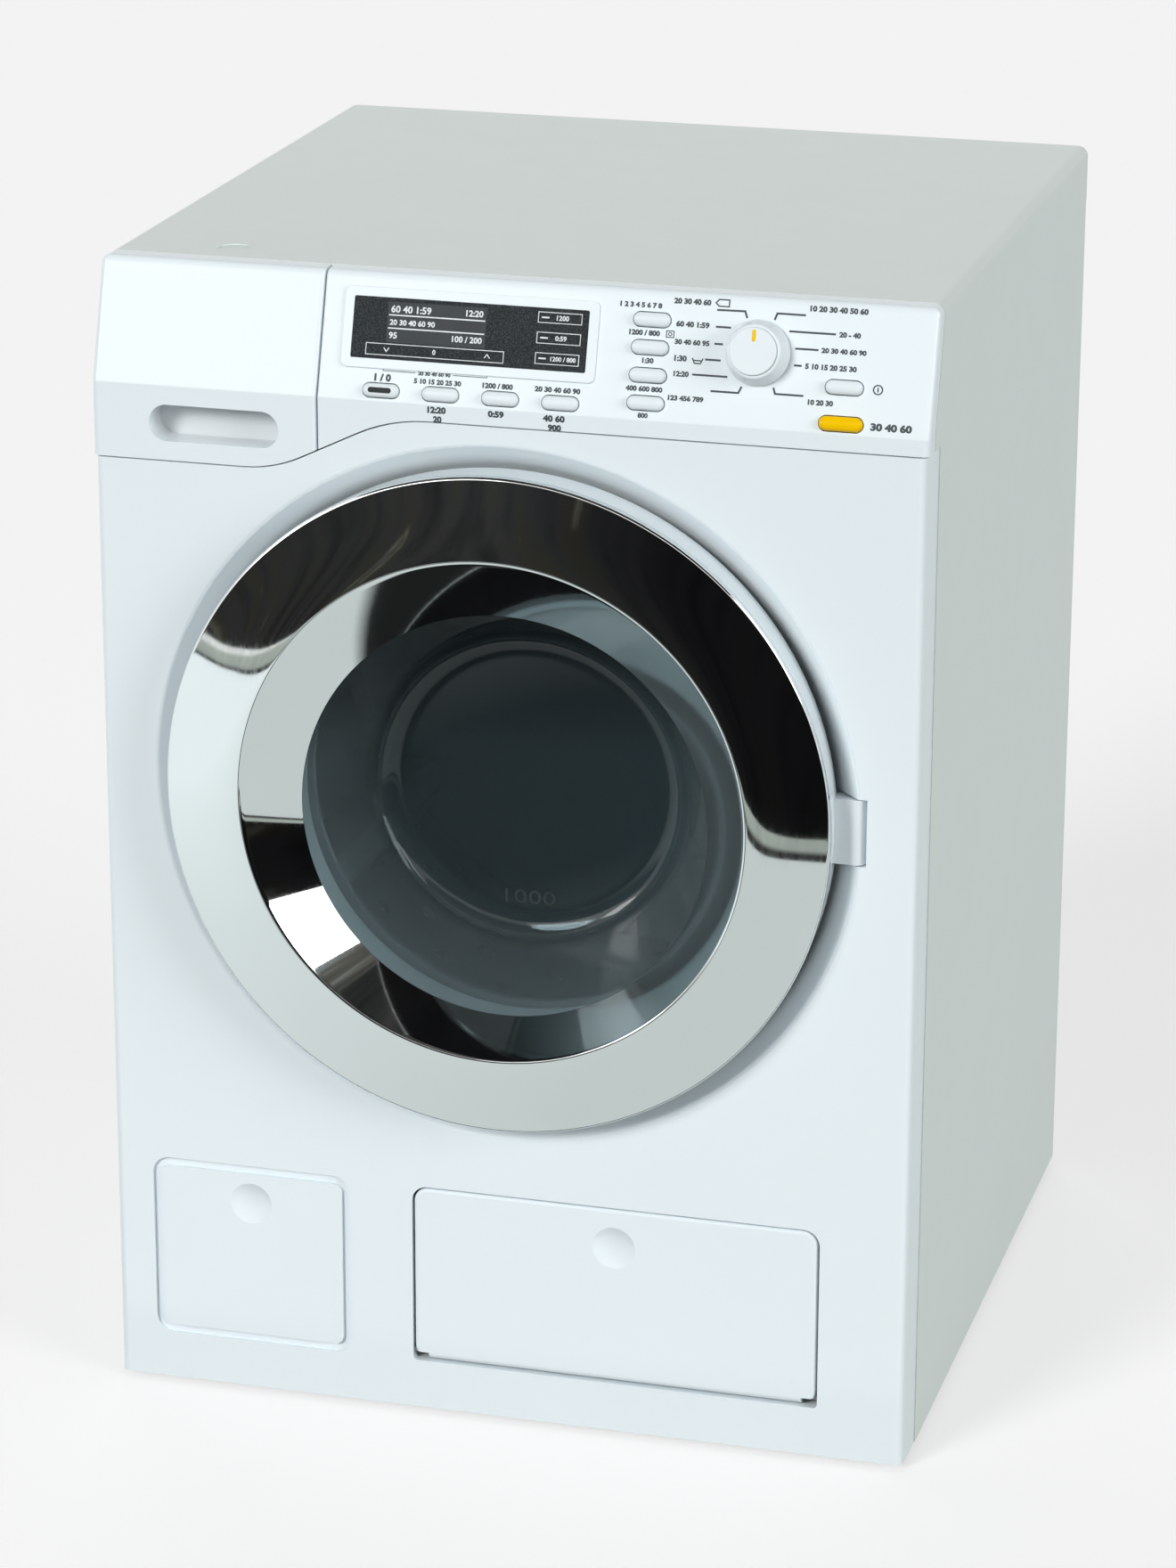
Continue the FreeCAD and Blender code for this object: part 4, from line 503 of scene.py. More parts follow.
# closed profile: band, ridge and funnel in front, then back along the inside. Points inside the ridge sink
# towards the window's lower centre in proportion to their depth below the ridge
def makeDoorRing():
    ring = doorRing
    outer = (ringHi.x - ringLo.x) / 2 / mm
    ridge, window, wall = outer - ring["ridgeInset"], outer - ring["windowInset"], ring["wall"]
    rim = (outer, ring["bandStand"] - wall / 2)
    band = bandPath(outer, ridge)
    rounds = [ring["edgeRound"], *[0] * (len(band) - 2), ring["ridgeRound"]]
    front = roundedPath([rim, *band, (window, 0)], rounds)
    inner = [(window + wall, 0), (ridge + wall / 2, ring["ridgeStand"] - wall),
             (outer, ring["bandStand"] - wall), rim]
    back = roundedPath(inner, [ring["backRound"], 0])[:-1]
    depths = []
    for path, ahead in ((front, True), (back, False)):
        order, peak = np.arange(len(path)), path[:, 1].argmax()
        sunk = order > peak if ahead else order < peak
        depths.append(np.where(sunk, 1 - path[:, 1] / path[peak, 1], 0))
    drop = np.concatenate(depths) * (doorZ - washZ) / mm
    shells = [turnedShell(np.concatenate([front, back]), ring["steps"], drop, True)]
    root, end = ring["postRoot"], ring["postEnd"]
    post = np.array([(0, root), (1, root), (1, end), (0, end)])
    postPoints, postFaces = turnedShell(post * (ring["postRadius"], 1), ring["postSteps"])
    reach = outer - ring["postInset"]
    for spot in np.radians(ring["postStart"] + 90 * np.arange(4)):
        shells.append((postPoints + (reach * math.cos(spot), reach * math.sin(spot), 0), postFaces))
    origin = np.array([0, frontY, doorZ])
    shells = [(points * mm @ frontAxes + origin, faces) for points, faces in shells]
    return makePiece("doorRing", shells, slotMaterial["bright_plating"], "door", sharpAngle=40)


doorRingPiece = makeDoorRing()
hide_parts("door_chrome_ring")
print("door ring:", len(doorRingPiece.data.polygons), "faces")


# window: a round bowl with a flat floor and a soft corner, and a flange that the ring covers

windowBowl = {
    "rim": 45.9, "floor": 34.6, "depth": 25.0, "corner": 7.0, "wall": 1.8, "flange": 1.6, "seat": 0.03,
    "rimRound": 0.4, "flangeRound": 0.3, "arcSteps": 14, "steps": 192,
}


# profile from the middle of the floor out to the flange and back along the outside
def makeWindowBowl():
    bowl = windowBowl
    edge = (bowlHi.x - bowlLo.x) / 2 / mm
    rim, floor, flange = bowl["rim"], bowl["floor"], bowl["flange"]
    wall, depth, seat = bowl["wall"], bowl["depth"], bowl["seat"]
    slant = (rim - floor) / (depth + wall)
    corners = [
        (0, -depth), (floor, -depth), (rim, -seat), (edge, -seat), (edge, -flange),
        (rim + wall - slant * flange, -flange), (floor + wall, -depth - wall), (0, -depth - wall),
    ]
    rounds = [bowl["corner"], bowl["rimRound"], 0, 0, bowl["flangeRound"], bowl["corner"] + wall]
    profile = roundedPath(corners, rounds, bowl["arcSteps"])
    points, faces = turnedShell(profile, bowl["steps"])
    shell = (points * mm @ frontAxes + np.array([0, frontY, washZ]), faces)
    return makePiece("windowBowl", [shell], slotMaterial["tinted_window"], "door", sharpAngle=40)


windowPiece = makeWindowBowl()
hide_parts("door_bowl")
print("window:", len(windowPiece.data.polygons), "faces")


# keys: domed pills with a hidden flange, each riding its own body; the real keys press along the face's
# normal

pillKeys = {
    "width": 8.0, "height": 3.0, "stand": 1.3, "shoulder": 0.25, "fullness": 2.3, "domeSteps": 14,
    "flange": 0.7, "flangeFront": -2.5, "flangeBack": -3.5,
    "wideWidth": 9.4, "wideHeight": 3.1,
    "row": ("start_key", "fill_key", "wash_key", "drain_key"), "rowUp": 2.35,
    "column": ("spin_key", "option_key_3", "option_key_2", "option_key_1"),
    "columnUp": 3.65, "columnPitch": 5.85,
    "powerUp": 9.8, "doorUp": 2.2,
    "plungerWidth": 4.0, "plungerHeight": 2.0, "plungerStart": -2.2, "plungerReach": -10.4,
}


# dome: stand follows a superellipse of the inset, so that the top is full and the edge is round
def pillProfile(height):
    key, half = pillKeys, height / 2
    t = np.sin(np.linspace(0, math.pi / 2, key["domeSteps"]))[1:]
    rise = (key["stand"] - key["shoulder"]) * (1 - (1 - t) ** key["fullness"]) ** (1 / key["fullness"])
    dome = np.column_stack([half * t, key["shoulder"] + rise])
    front, back, rim = key["flangeFront"], key["flangeBack"], key["flange"]
    base = [(half, back), (-rim, back), (-rim, front), (0, front), (0, key["shoulder"])]
    return np.concatenate([base, dome])


# block with one slanted end, given by its eight corners
def plungerShell():
    key = pillKeys
    half, tall = key["plungerWidth"] / 2, key["plungerHeight"] / 2
    start, reach = key["plungerStart"], key["plungerReach"]
    near = reach + key["plungerWidth"]
    section = [(-half, start), (half, start), (half, reach), (-half, near)]
    points = np.array([(x, up, stand) for up in (-tall, tall) for x, stand in section])
    faces = np.array([(0, 1, 2, 3), (7, 6, 5, 4), (0, 4, 5, 1), (1, 5, 6, 2), (2, 6, 7, 3), (3, 7, 4, 0)])
    return points, faces


def makeKey(node, up, width, height, material, extra=()):
    lo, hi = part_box(node)
    place = np.array([(lo.x + hi.x) / 2 / mm, up, 0])
    shells = [pillShell(width, height, pillProfile(height)), *extra]
    shells = [(onFace(points + place), faces) for points, faces in shells]
    pieceName = node.replace("_key", "Key").replace("_", "")
    piece = makePiece(pieceName, shells, material, node, sharpAngle=45)
    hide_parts(node)
    return piece, place


keyPlaces = {name: pillKeys["rowUp"] for name in pillKeys["row"]}
for step, name in enumerate(pillKeys["column"]):
    keyPlaces[name] = pillKeys["columnUp"] + step * pillKeys["columnPitch"]
keyPlaces["power_key"] = pillKeys["powerUp"]
for name, up in keyPlaces.items():
    piece, place = makeKey(name, up, pillKeys["width"], pillKeys["height"], slotMaterial["key_grey"])
    if name == "start_key":
        startPlace = place
doorKeyPiece = makeKey(
    "door_key", pillKeys["doorUp"], pillKeys["wideWidth"], pillKeys["wideHeight"],
    slotMaterial["signal_yellow"], [plungerShell()],
)[0]

# dark lamp window let into the start key, crowned a little above it
startLamp = {"width": 5.2, "height": 1.15, "low": 1.0, "high": 1.33, "edge": 0.05, "steps": 10,
             "colour": (0.012, 0.018, 0.018), "gloss": (0.4, 0.5)}
lampHalf, lampLow, lampHigh, lampEdge = (
    startLamp["height"] / 2, startLamp["low"], startLamp["high"], startLamp["edge"])
lampProfile = np.array([(lampHalf, lampLow), (0, lampLow), (0, lampHigh - lampEdge), (lampEdge, lampHigh),
                        (lampHalf, lampHigh)])
lampPoints, lampFaces = pillShell(startLamp["width"], startLamp["height"], lampProfile, startLamp["steps"])
lampInk = printInk("lampWindow", startLamp["colour"], startLamp["gloss"])
makePiece("startLamp", [(onFace(lampPoints + startPlace), lampFaces)], lampInk, "start_key", sharpAngle=30)
print("keys:", len(keyPlaces) + 1)


# program knob: tapered skirt with a stem, a cap let into its top, and a yellow pointer

programKnob = {
    "up": 15.75, "baseRadius": 7.05, "topRadius": 5.7, "capRadius": 5.05, "gap": 0.3, "height": 4.4,
    "capStand": 0.6, "capSink": 0.8, "capGap": 0.05, "capLift": 0.02, "stemRadius": 2.5, "stemEnd": -4.1,
    "baseRound": 0.25, "edgeRound": 0.55, "capRound": 0.28, "steps": 96,
    "pointerLength": 2.5, "pointerWidth": 0.8, "pointerInset": 0.55, "pointerStand": 0.05,
    "pointerSink": -0.3, "pointerShoulder": 0.02, "pointerEdge": 0.05, "pointerSteps": 8,
}


def makeKnob():
    knob = programKnob
    lo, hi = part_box("program_knob")
    place = np.array([(lo.x + hi.x) / 2 / mm, knob["up"], 0])
    top = knob["gap"] + knob["height"]
    seat, face = top - knob["capSink"], top + knob["capStand"]
    well, lifted, capRadius = knob["capRadius"] + knob["capGap"], seat + knob["capLift"], knob["capRadius"]
    skirt = roundedPath(
        [(0, knob["stemEnd"]), (knob["stemRadius"], knob["stemEnd"]), (knob["stemRadius"], knob["gap"]),
         (knob["baseRadius"], knob["gap"]), (knob["topRadius"], top), (well, top), (well, seat), (0, seat)],
        [0, 0, knob["baseRound"], knob["edgeRound"], 0, 0])
    cap = roundedPath(
        [(0, lifted), (capRadius, lifted), (capRadius, face), (0, face)], [0, knob["capRound"]])
    long, wide = knob["pointerLength"], knob["pointerWidth"]
    sink, stand = knob["pointerSink"], knob["pointerStand"]
    pointer = np.array([(wide / 2, sink), (0, sink), (0, knob["pointerShoulder"]),
                        (knob["pointerEdge"], stand), (wide / 2, stand)])
    bar, barFaces = pillShell(long, wide, pointer, knob["pointerSteps"])
    bar = bar[:, [1, 0, 2]] + (0, knob["capRadius"] - knob["pointerInset"] - long / 2, face)
    white, yellow = slotMaterial["knob_white"], slotMaterial["signal_yellow"]
    for name, node, shell, material, slot in (
            ("knobSkirt", "program_knob", turnedShell(skirt, knob["steps"]), white, "knob_white"),
            ("knobCap", "knob_cap", turnedShell(cap, knob["steps"]), white, "knob_white"),
            ("knobPointer", "knob_pointer", (bar, barFaces), yellow, "signal_yellow")):
        piece = makePiece(name, [(onFace(shell[0] + place), shell[1])], material, "knob", sharpAngle=40)
        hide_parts(node)


makeKnob()
print("knob: 3 pieces")


# printing

# widths of strokes and thicknesses in mm
ink = {"thick": 0.03, "line": 0.42, "fineLine": 0.16, "rule": 0.28, "icon": 0.28, "frame": 0.2, "dot": 0.18,
       "dash": 0.34, "arrow": 0.22, "bold": 0.055, "lightBold": 0.03, "displayStand": 0.5,
       "curveSteps": 3}


# a line of numbers as a flat mesh, stretched to fill its box (left, right, base, top) and its thickness
def wordShell(text, left, right, base, top, stand, bold):
    curve = bpy.data.curves.new("word", "FONT")
    curve.body = text
    curve.offset = bold
    curve.resolution_u = ink["curveSteps"]
    curve.extrude = 0.5
    holder = bpy.data.objects.new("word", curve)
    scene.collection.objects.link(holder)
    mesh = bpy.data.meshes.new_from_object(holder.evaluated_get(bpy.context.evaluated_depsgraph_get()))
    points = np.empty(len(mesh.vertices) * 3)
    mesh.vertices.foreach_get("co", points)
    points = points.reshape(-1, 3)
    faces = [list(polygon.vertices) for polygon in mesh.polygons]
    bpy.data.objects.remove(holder)
    bpy.data.curves.remove(curve)
    bpy.data.meshes.remove(mesh)
    lo, hi = points.min(0), points.max(0)
    share = (points - lo) / (hi - lo)
    spread = np.array([right - left, top - base, ink["thick"]])
    return share * spread + (left, base, stand), faces


# words and strokes together become one printed piece
def makePrint(name, words, strokes, material, axes=slopeAxes, stand=0.0, bold=0.0, body="case"):
    points, faces, count = [], [], 0
    shells = [wordShell(*word, stand, bold) for word in words]
    low, high = stand, stand + ink["thick"]
    shells += [strokeShell(path, width, low, high, closed) for path, width, closed in strokes]
    for shellPoints, shellFaces in shells:
        points.append(onFace(shellPoints, axes))
        faces += [[int(corner) + count for corner in face] for face in shellFaces]
        count += len(shellPoints)
    mesh = bpy.data.meshes.new(name)
    mesh.from_pydata(np.concatenate(points).tolist(), [], faces)
    finishPiece(name, mesh, material, body, sharpAngle=30)


def ringPath(x, up, radius, steps=28):
    angle = np.linspace(0, 2 * math.pi, steps, endpoint=False)
    return np.column_stack([x + radius * np.cos(angle), up + radius * np.sin(angle)])


def boxPath(left, right, low, high):
    return [(left, low), (right, low), (right, high), (left, high)]


knobScale = {
    "lines": (
        ((44.96, 24.15), (51.0, 24.24), (51.55, 22.83)), ((44.98, 20.63), (48.23, 20.62)),
        ((44.96, 17.06), (46.82, 17.06)), ((43.25, 13.65), (46.6, 13.65)), ((40.74, 10.34), (48.32, 10.34)),
        ((44.97, 7.16), (50.92, 7.16), (51.54, 8.52)), ((63.98, 24.24), (57.9, 24.24), (57.4, 22.84)),
        ((60.73, 20.7), (70.68, 20.7)), ((62.28, 17.2), (67.26, 17.2)), ((62.34, 13.7), (63.96, 13.7)),
        ((64.86, 7.5), (58.77, 7.5), (58.33, 8.8)),
    ),
    "numbers": (
        ("20 30 40 60", 35.6, 43.6, 24.9, 26.2), ("60 40 1:59", 36.4, 43.6, 20.1, 21.4),
        ("30 40 60 95", 36.4, 43.9, 16.4, 17.6), ("1:30", 36.6, 39.3, 12.9, 14.2),
        ("12:20", 36.7, 40.0, 9.7, 10.9), ("123 456 789", 35.9, 43.6, 4.6, 5.8),
        ("10 20 30 40 50 60", 64.8, 77.2, 25.1, 26.4),
        ("20 - 40", 71.4, 76.0, 20.1, 21.3), ("20 30 40 60 90", 67.9, 77.5, 16.6, 17.8),
        ("5 10 15 20 25 30", 64.7, 75.7, 13.1, 14.3), ("10 20 30", 65.9, 71.3, 5.7, 6.9),
    ),
}
knobIcons = {
    "tag": ((44.6, 25.65), (45.3, 26.35), (47.5, 26.35), (47.5, 24.95), (45.3, 24.95)),
    "tub": ((40.5, 13.8), (41.0, 12.7), (42.3, 12.7), (42.8, 13.8)),
    "tubLevel": ((40.9, 13.3), (42.4, 13.3)),
}
strokes = [(path, ink["line"], False) for path in knobScale["lines"]]
strokes += [(path, ink["icon"], name == "tag") for name, path in knobIcons.items()]
makePrint("knobScale", knobScale["numbers"], strokes, darkInk, bold=ink["bold"])

keyScale = {
    "slope": (
        ("1 / 0", -28.6, -24.9, 4.3, 5.95), ("5 10 15 20 25 30", -19.8, -9.3, 4.35, 5.5),
        ("1200 / 800", -4.6, 2.1, 4.4, 5.6), ("20 30 40 60 90", 6.9, 16.9, 4.45, 5.7),
        ("1 2 3 4 5 6 7 8", 24.0, 33.1, 23.6, 24.8), ("1200 / 800", 26.4, 33.1, 17.8, 19.0),
        ("1:30", 29.7, 32.2, 12.0, 13.2), ("400 600 800", 26.6, 34.6, 6.05, 7.25),
        ("800", 29.7, 31.9, 0.5, 1.6), ("30 40 60", 79.6, 88.4, 1.25, 2.95),
        ("20 30 40 60 90", -19.0, -11.8, 6.1, 7.0),
    ),
    "front": (
        ("12:20", -16.4, -12.3, -1.75, -0.25), ("20", -15.15, -13.25, -3.75, -2.3),
        ("0:59", -3.0, 0.5, -1.75, -0.25), ("40 60", 9.1, 13.9, -1.75, -0.25),
        ("900", 10.2, 13.1, -3.75, -2.3),
    ),
    "power": (80.55, 9.8, 0.95), "powerBar": ((80.55, 9.3), (80.55, 10.3)),
    "frame": (34.5, 36.1, 17.75, 19.1), "dot": (35.3, 18.43, 0.35, 16),
    "brackets": (((-26.8, 7.35), (-26.8, 6.6), (-19.6, 6.6)), ((-11.2, 6.6), (-3.8, 6.6), (-3.8, 7.35))),
}
strokes = [
    (ringPath(*keyScale["power"]), ink["icon"], True), (keyScale["powerBar"], ink["icon"], False),
    (boxPath(*keyScale["frame"]), ink["frame"], True), (ringPath(*keyScale["dot"]), ink["dot"], True),
]
strokes += [(path, ink["fineLine"], False) for path in keyScale["brackets"]]
makePrint("keyScale", keyScale["slope"], strokes, darkInk, bold=ink["bold"])
makePrint("frontScale", keyScale["front"], [], darkInk, frontAxes, bold=ink["bold"])

displayPrint = {
    "numbers": (
        ("60 40 1:59", -25.9, -17.0, 19.0, 20.6), ("12:20", -9.3, -5.5, 19.2, 20.6),
        ("20 30 40 60 90", -26.0, -16.0, 16.35, 17.6), ("95", -26.0, -24.2, 13.5, 14.9),
        ("100 / 200", -12.0, -5.4, 13.6, 14.95), ("0", -16.1, -15.4, 10.6, 11.7),
        ("1200", 10.6, 13.3, 19.6, 20.7), ("0:59", 10.6, 13.1, 15.3, 16.4),
        ("1200 / 800", 9.9, 15.45, 11.0, 12.0),
    ),
    "boxes": ((-30.85, -0.4, 9.9, 12.3), (6.6, 16.1, 19.05, 21.25), (6.6, 16.1, 14.7, 17.0),
              (6.6, 16.1, 10.35, 12.65)),
    "rules": (((-26.3, 18.5), (-5.0, 18.5)), ((-26.3, 15.7), (-5.0, 15.7))),
    "dashes": (((7.3, 20.15), (9.0, 20.15)), ((7.3, 15.85), (9.0, 15.85)), ((7.3, 11.5), (8.9, 11.5))),
    "arrows": (((-26.9, 11.5), (-26.3, 10.7), (-25.7, 11.5)), ((-4.6, 10.7), (-4.0, 11.5), (-3.4, 10.7))),
}
strokes = [(boxPath(*box), ink["fineLine"], True) for box in displayPrint["boxes"]]
for lines, width in (("rules", "rule"), ("dashes", "dash"), ("arrows", "arrow")):
    strokes += [(path, ink[width], False) for path in displayPrint[lines]]
makePrint("displayPrint", displayPrint["numbers"], strokes, whiteInk, stand=ink["displayStand"],
          bold=ink["lightBold"])

# paler field behind the display's upper lines, and a level mark standing off the window's floor
displayField = {"left": -26.6, "right": -4.7, "low": 12.7, "high": 21.3, "stand": 0.475,
                "colour": (0.036, 0.042, 0.046)}
fieldMid = (displayField["low"] + displayField["high"]) / 2
fieldPath = [(displayField["left"], fieldMid), (displayField["right"], fieldMid)]
fieldInk = printInk("fieldInk", displayField["colour"], displayFinish["gloss"])
fieldStroke = (fieldPath, displayField["high"] - displayField["low"], False)
makePrint("displayField", [], [fieldStroke], fieldInk, stand=displayField["stand"])
levelMark = {"text": "1000", "left": -6.8, "right": 4.9, "low": -28.6, "high": -25.4, "sink": 25.0,
             "colour": (0.03, 0.04, 0.044), "gloss": (0.3, 0.4)}
markDrop = (washZ - creaseZ) / mm
markRise = (levelMark["low"] + markDrop, levelMark["high"] + markDrop)
markWord = (levelMark["text"], levelMark["left"], levelMark["right"], *markRise)
markInk = printInk("markInk", levelMark["colour"], levelMark["gloss"])
makePrint("levelMark", [markWord], [], markInk, frontAxes, -levelMark["sink"], body="door")
print("printing: 6 pieces")


# screws in the back: a flat sunk head with a cross recess, a cone under it and a plain shank

backScrew = {
    "headRadius": 2.4, "shankRadius": 1.3, "cone": 1.1, "armWidth": 0.62, "armReach": 1.45, "depth": 0.75,
    "soft": 0.12, "rings": 25, "steps": 80, "turns": (12, 57, 31, 74), "batteryTurn": 40,
}


# 1 inside an arm of the cross, falling to 0 over a narrow strip at its edge
def crossArm(along, beside):
    inside = np.minimum(backScrew["armReach"] - np.abs(along), backScrew["armWidth"] / 2 - np.abs(beside))
    return np.clip(inside / backScrew["soft"] + 0.5, 0, 1)


# rings about the axis; the head's rings sink by the recess depth wherever they lie inside either arm
def screwShell(length, turn):
    screw, spin = backScrew, math.radians(turn)
    angle = np.linspace(0, 2 * math.pi, screw["steps"], endpoint=False)
    head = np.linspace(0, screw["headRadius"], screw["rings"])
    radius = np.concatenate([head, [screw["shankRadius"], screw["shankRadius"], 0]])[:, None]
    stand = np.concatenate([0 * head, [-screw["cone"], -length, -length]])[:, None]
    across, up = radius * np.cos(angle), radius * np.sin(angle)
    along, beside = radius * np.cos(angle - spin), radius * np.sin(angle - spin)
    recess = np.maximum(crossArm(along, beside), crossArm(beside, along))
    recess[len(head):] = 0
    grid = np.stack([across, up, stand - screw["depth"] * recess], -1)
    return grid.reshape(-1, 3), gridFaces(len(radius), screw["steps"], False, True)


def makeScrews(name, node, turns):
    lo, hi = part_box(node)
    inset = backScrew["headRadius"] * mm
    across, upright = ((lo.x + inset, hi.x - inset), (lo.z + inset, hi.z - inset))
    spots = sorted({(round(x, 6), round(z, 6)) for x in across for z in upright})
    shells = []
    for (x, z), turn in zip(spots, turns):
        points, faces = screwShell((hi.y - lo.y) / mm, turn)
        shells.append((points * mm @ backAxes + np.array([x, hi.y, z]), faces))
    piece = makePiece(name, shells, slotMaterial["steel"], "case", sharpAngle=30)
    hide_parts(node)


makeScrews("caseScrews", "case_screws", backScrew["turns"])
makeScrews("batteryScrew", "battery_screw", [backScrew["batteryTurn"]])
print("back screws: 5")


# stage: pale floor, soft lamps, and cards that only reflections see

studio = {
    "background": 0.913, "ambient": 0.20, "ambientColour": (0.97, 1.0, 1.0, 1),
    "floorColour": 0.38, "floorGlow": 0.615, "floorReach": 6, "floorSteps": 13,
    "keyTo": (-0.40, -0.80, 0.42), "keyPower": 0.71, "keyAngle": 20,
    "fillTo": (0.90, -0.33, 0.28), "fillPower": 0.55, "fillAngle": 30,
    "backTo": (-0.40, 0.88, 0.25), "backPower": 0.32, "backAngle": 35,
    # the floor as mirrors see it, painted: paler to the left, a dim patch before the door, and a contact
    # shadow strip close to the machine
    "mirrorFrom": -0.40, "mirrorTo": 0.0, "mirrorLeft": (0.90, 0.985, 1.0),
    "mirrorRight": (0.61, 0.675, 0.665),
    "patchPlace": (-0.113, -0.472), "patchReach": (0.10, 0.18), "patchLevel": 0.08, "patchSoft": 0.5,
    "stripFrom": -0.124, "stripTo": -0.084, "contactShadowLevel": (0.02, 0.02, 0.02),
    "stripShares": (0, 0.12, 0.85, 0.95),
}


# 1 for rays that see the stage directly, in a mirror or through glass
def seenRays(tree):
    rays = addNode(tree, "LightPath").outputs
    total = rays["Is Camera Ray"]
    for name in ("Is Glossy Ray", "Is Transmission Ray"):
        add = addNode(tree, "Math", {0: total, 1: rays[name]})
        add.operation = "ADD"
        add.use_clamp = True
        total = add.outputs[0]
    return total


# what mirrors see of the floor is painted: paler to the left as painted light, a painted dim patch before
# the door, and a painted contact shadow close to the machine
def paintedMirrorFloor(tree):
    place = placeOf(tree)
    axes = axesOf(tree, place)
    way = rangeOf(tree, axes["X"], studio["mirrorFrom"], studio["mirrorTo"], 0, 1)
    colour = colourRamp(tree, way, ((0, studio["mirrorLeft"]), (1, studio["mirrorRight"])))
    middle, reach = np.array([*studio["patchPlace"], 0]), np.array([*studio["patchReach"], 1])
    mapping = addNode(tree, "Mapping", {"Vector": place, "Location": -middle / reach, "Scale": 1 / reach})
    ball = addNode(tree, "TexGradient", {"Vector": mapping.outputs["Vector"]})
    ball.gradient_type = "SPHERICAL"
    patch = rangeOf(tree, ball.outputs["Fac"], 0, studio["patchSoft"], 1, studio["patchLevel"])
    strip = rangeOf(tree, axes["Y"], studio["stripFrom"], studio["stripTo"], 0, 1)
    dim, full = studio["contactShadowLevel"], (1, 1, 1)
    contactShadow = colourRamp(tree, strip, list(zip(studio["stripShares"], (full, dim, dim, full))))
    return addNode(tree, "Emission", {"Color": colour, "Strength": timesOf(tree, patch, contactShadow)}).outputs[0]


# a stage object with a material that is still bare
def stageObject(name, points, faces):
    mesh = bpy.data.meshes.new(name)
    mesh.from_pydata(points.tolist(), [], faces.tolist())
    material = bpy.data.materials.new(name)
    material.use_nodes = True
    material.node_tree.nodes.clear()
    mesh.materials.append(material)
    piece = bpy.data.objects.new(name, mesh)
    scene.collection.objects.link(piece)
    return piece, material.node_tree


def makeFloor():
    reach, steps = studio["floorReach"], studio["floorSteps"]
    side = np.linspace(-reach, reach, steps)
    x, y = np.meshgrid(side, side, indexing="ij")
    points = np.stack([x, y, np.zeros_like(x)], -1).reshape(-1, 3)
    floor, tree = stageObject("studioFloor", points, gridFaces(steps, steps)[:, ::-1])
    diffuse = addNode(tree, "BsdfDiffuse", {"Color": (*[studio["floorColour"]] * 3, 1)})
    glow = addNode(tree, "Emission", {"Strength": timesOf(tree, seenRays(tree), studio["floorGlow"])})
    lit = addNode(tree, "AddShader", {0: diffuse.outputs[0], 1: glow.outputs[0]})
    mirrored = addNode(tree, "LightPath").outputs["Is Glossy Ray"]
    choice = addNode(tree, "MixShader", {"Fac": mirrored, 1: lit.outputs[0], 2: paintedMirrorFloor(tree)})
    addNode(tree, "OutputMaterial", {"Surface": choice.outputs[0]})


def makeWorld():
    world = bpy.data.worlds.new("studioWorld")
    scene.world = world
    world.use_nodes = True
    tree = world.node_tree
    tree.nodes.clear()
    ambient = addNode(tree, "Background", {"Strength": studio["ambient"], "Color": studio["ambientColour"]})
    seen = addNode(tree, "Background", {"Color": (*[studio["background"]] * 3, 1)})
    mix = addNode(tree, "MixShader", {"Fac": seenRays(tree), 1: ambient.outputs[0], 2: seen.outputs[0]})
    addNode(tree, "OutputWorld", {"Surface": mix.outputs[0]})


def makeLamp(name, towards, power, angle):
    lamp = bpy.data.lights.new(name, "SUN")
    lamp.energy = power * math.pi
    lamp.angle = math.radians(angle)
    holder = bpy.data.objects.new(name, lamp)
    holder.rotation_mode = "QUATERNION"
    holder.rotation_quaternion = Vector(towards).to_track_quat("Z", "Y")
    holder.visible_glossy = False
    scene.collection.objects.link(holder)


# card over a bent foot line, seen by mirror reflections alone. Points run from each foot to its top; the
# colour follows the height, and is multiplied by one that follows x and by one of a noise drawn out upwards
cardMesh = {"across": 61, "rise": 9}
plainCard = {"sideStops": None, "streakStops": ((0.3, (0.95, 0.95, 0.95)), (0.7, (1.05, 1.05, 1.05))),
             "streak": 60, "drawn": 0.12}


def makeCard(name, ownCard):
    card = plainCard | ownCard
    feet, tops = np.array(card["feet"], float), np.array(card["tops"], float)
    if tops.ndim == 1:
        tops = np.column_stack([feet[:, :2], tops])
    knots, across = np.linspace(0, 1, len(feet)), np.linspace(0, 1, cardMesh["across"])
    low, high = (
        np.column_stack([np.interp(across, knots, axis) for axis in line.T]) for line in (feet, tops))
    rise = np.linspace(0, 1, cardMesh["rise"])[:, None]
    points = (low[:, None] * (1 - rise) + high[:, None] * rise).reshape(-1, 3)
    piece, tree = stageObject(name, points, gridFaces(len(across), len(rise)))
    place = placeOf(tree)
    axes = axesOf(tree, place)
    height = rangeOf(tree, axes["Z"], points[:, 2].min(), points[:, 2].max(), 0, 1)
    side = rangeOf(tree, axes["X"], -1, 1, 0, 1)
    drawn = stretched(tree, place, (1, 1, card["drawn"]))
    streaks = noiseOf(tree, drawn, card["streak"], detail=4, rough=0.6)
    colour = colourRamp(tree, height, card["stops"])
    for factor, stops in ((side, card["sideStops"]), (streaks, card["streakStops"])):
        if stops:
            colour = timesOf(tree, colour, colourRamp(tree, factor, stops), "VectorMath")
    glow = addNode(tree, "Emission", {"Color": colour})
    addNode(tree, "OutputMaterial", {"Surface": glow.outputs[0]})
    piece.visible_camera = piece.visible_diffuse = piece.visible_shadow = False
    piece.visible_transmission = piece.visible_volume_scatter = False


# one colour from foot to top
def evenStops(*colour):
    return (0.0, colour), (1.0, colour)


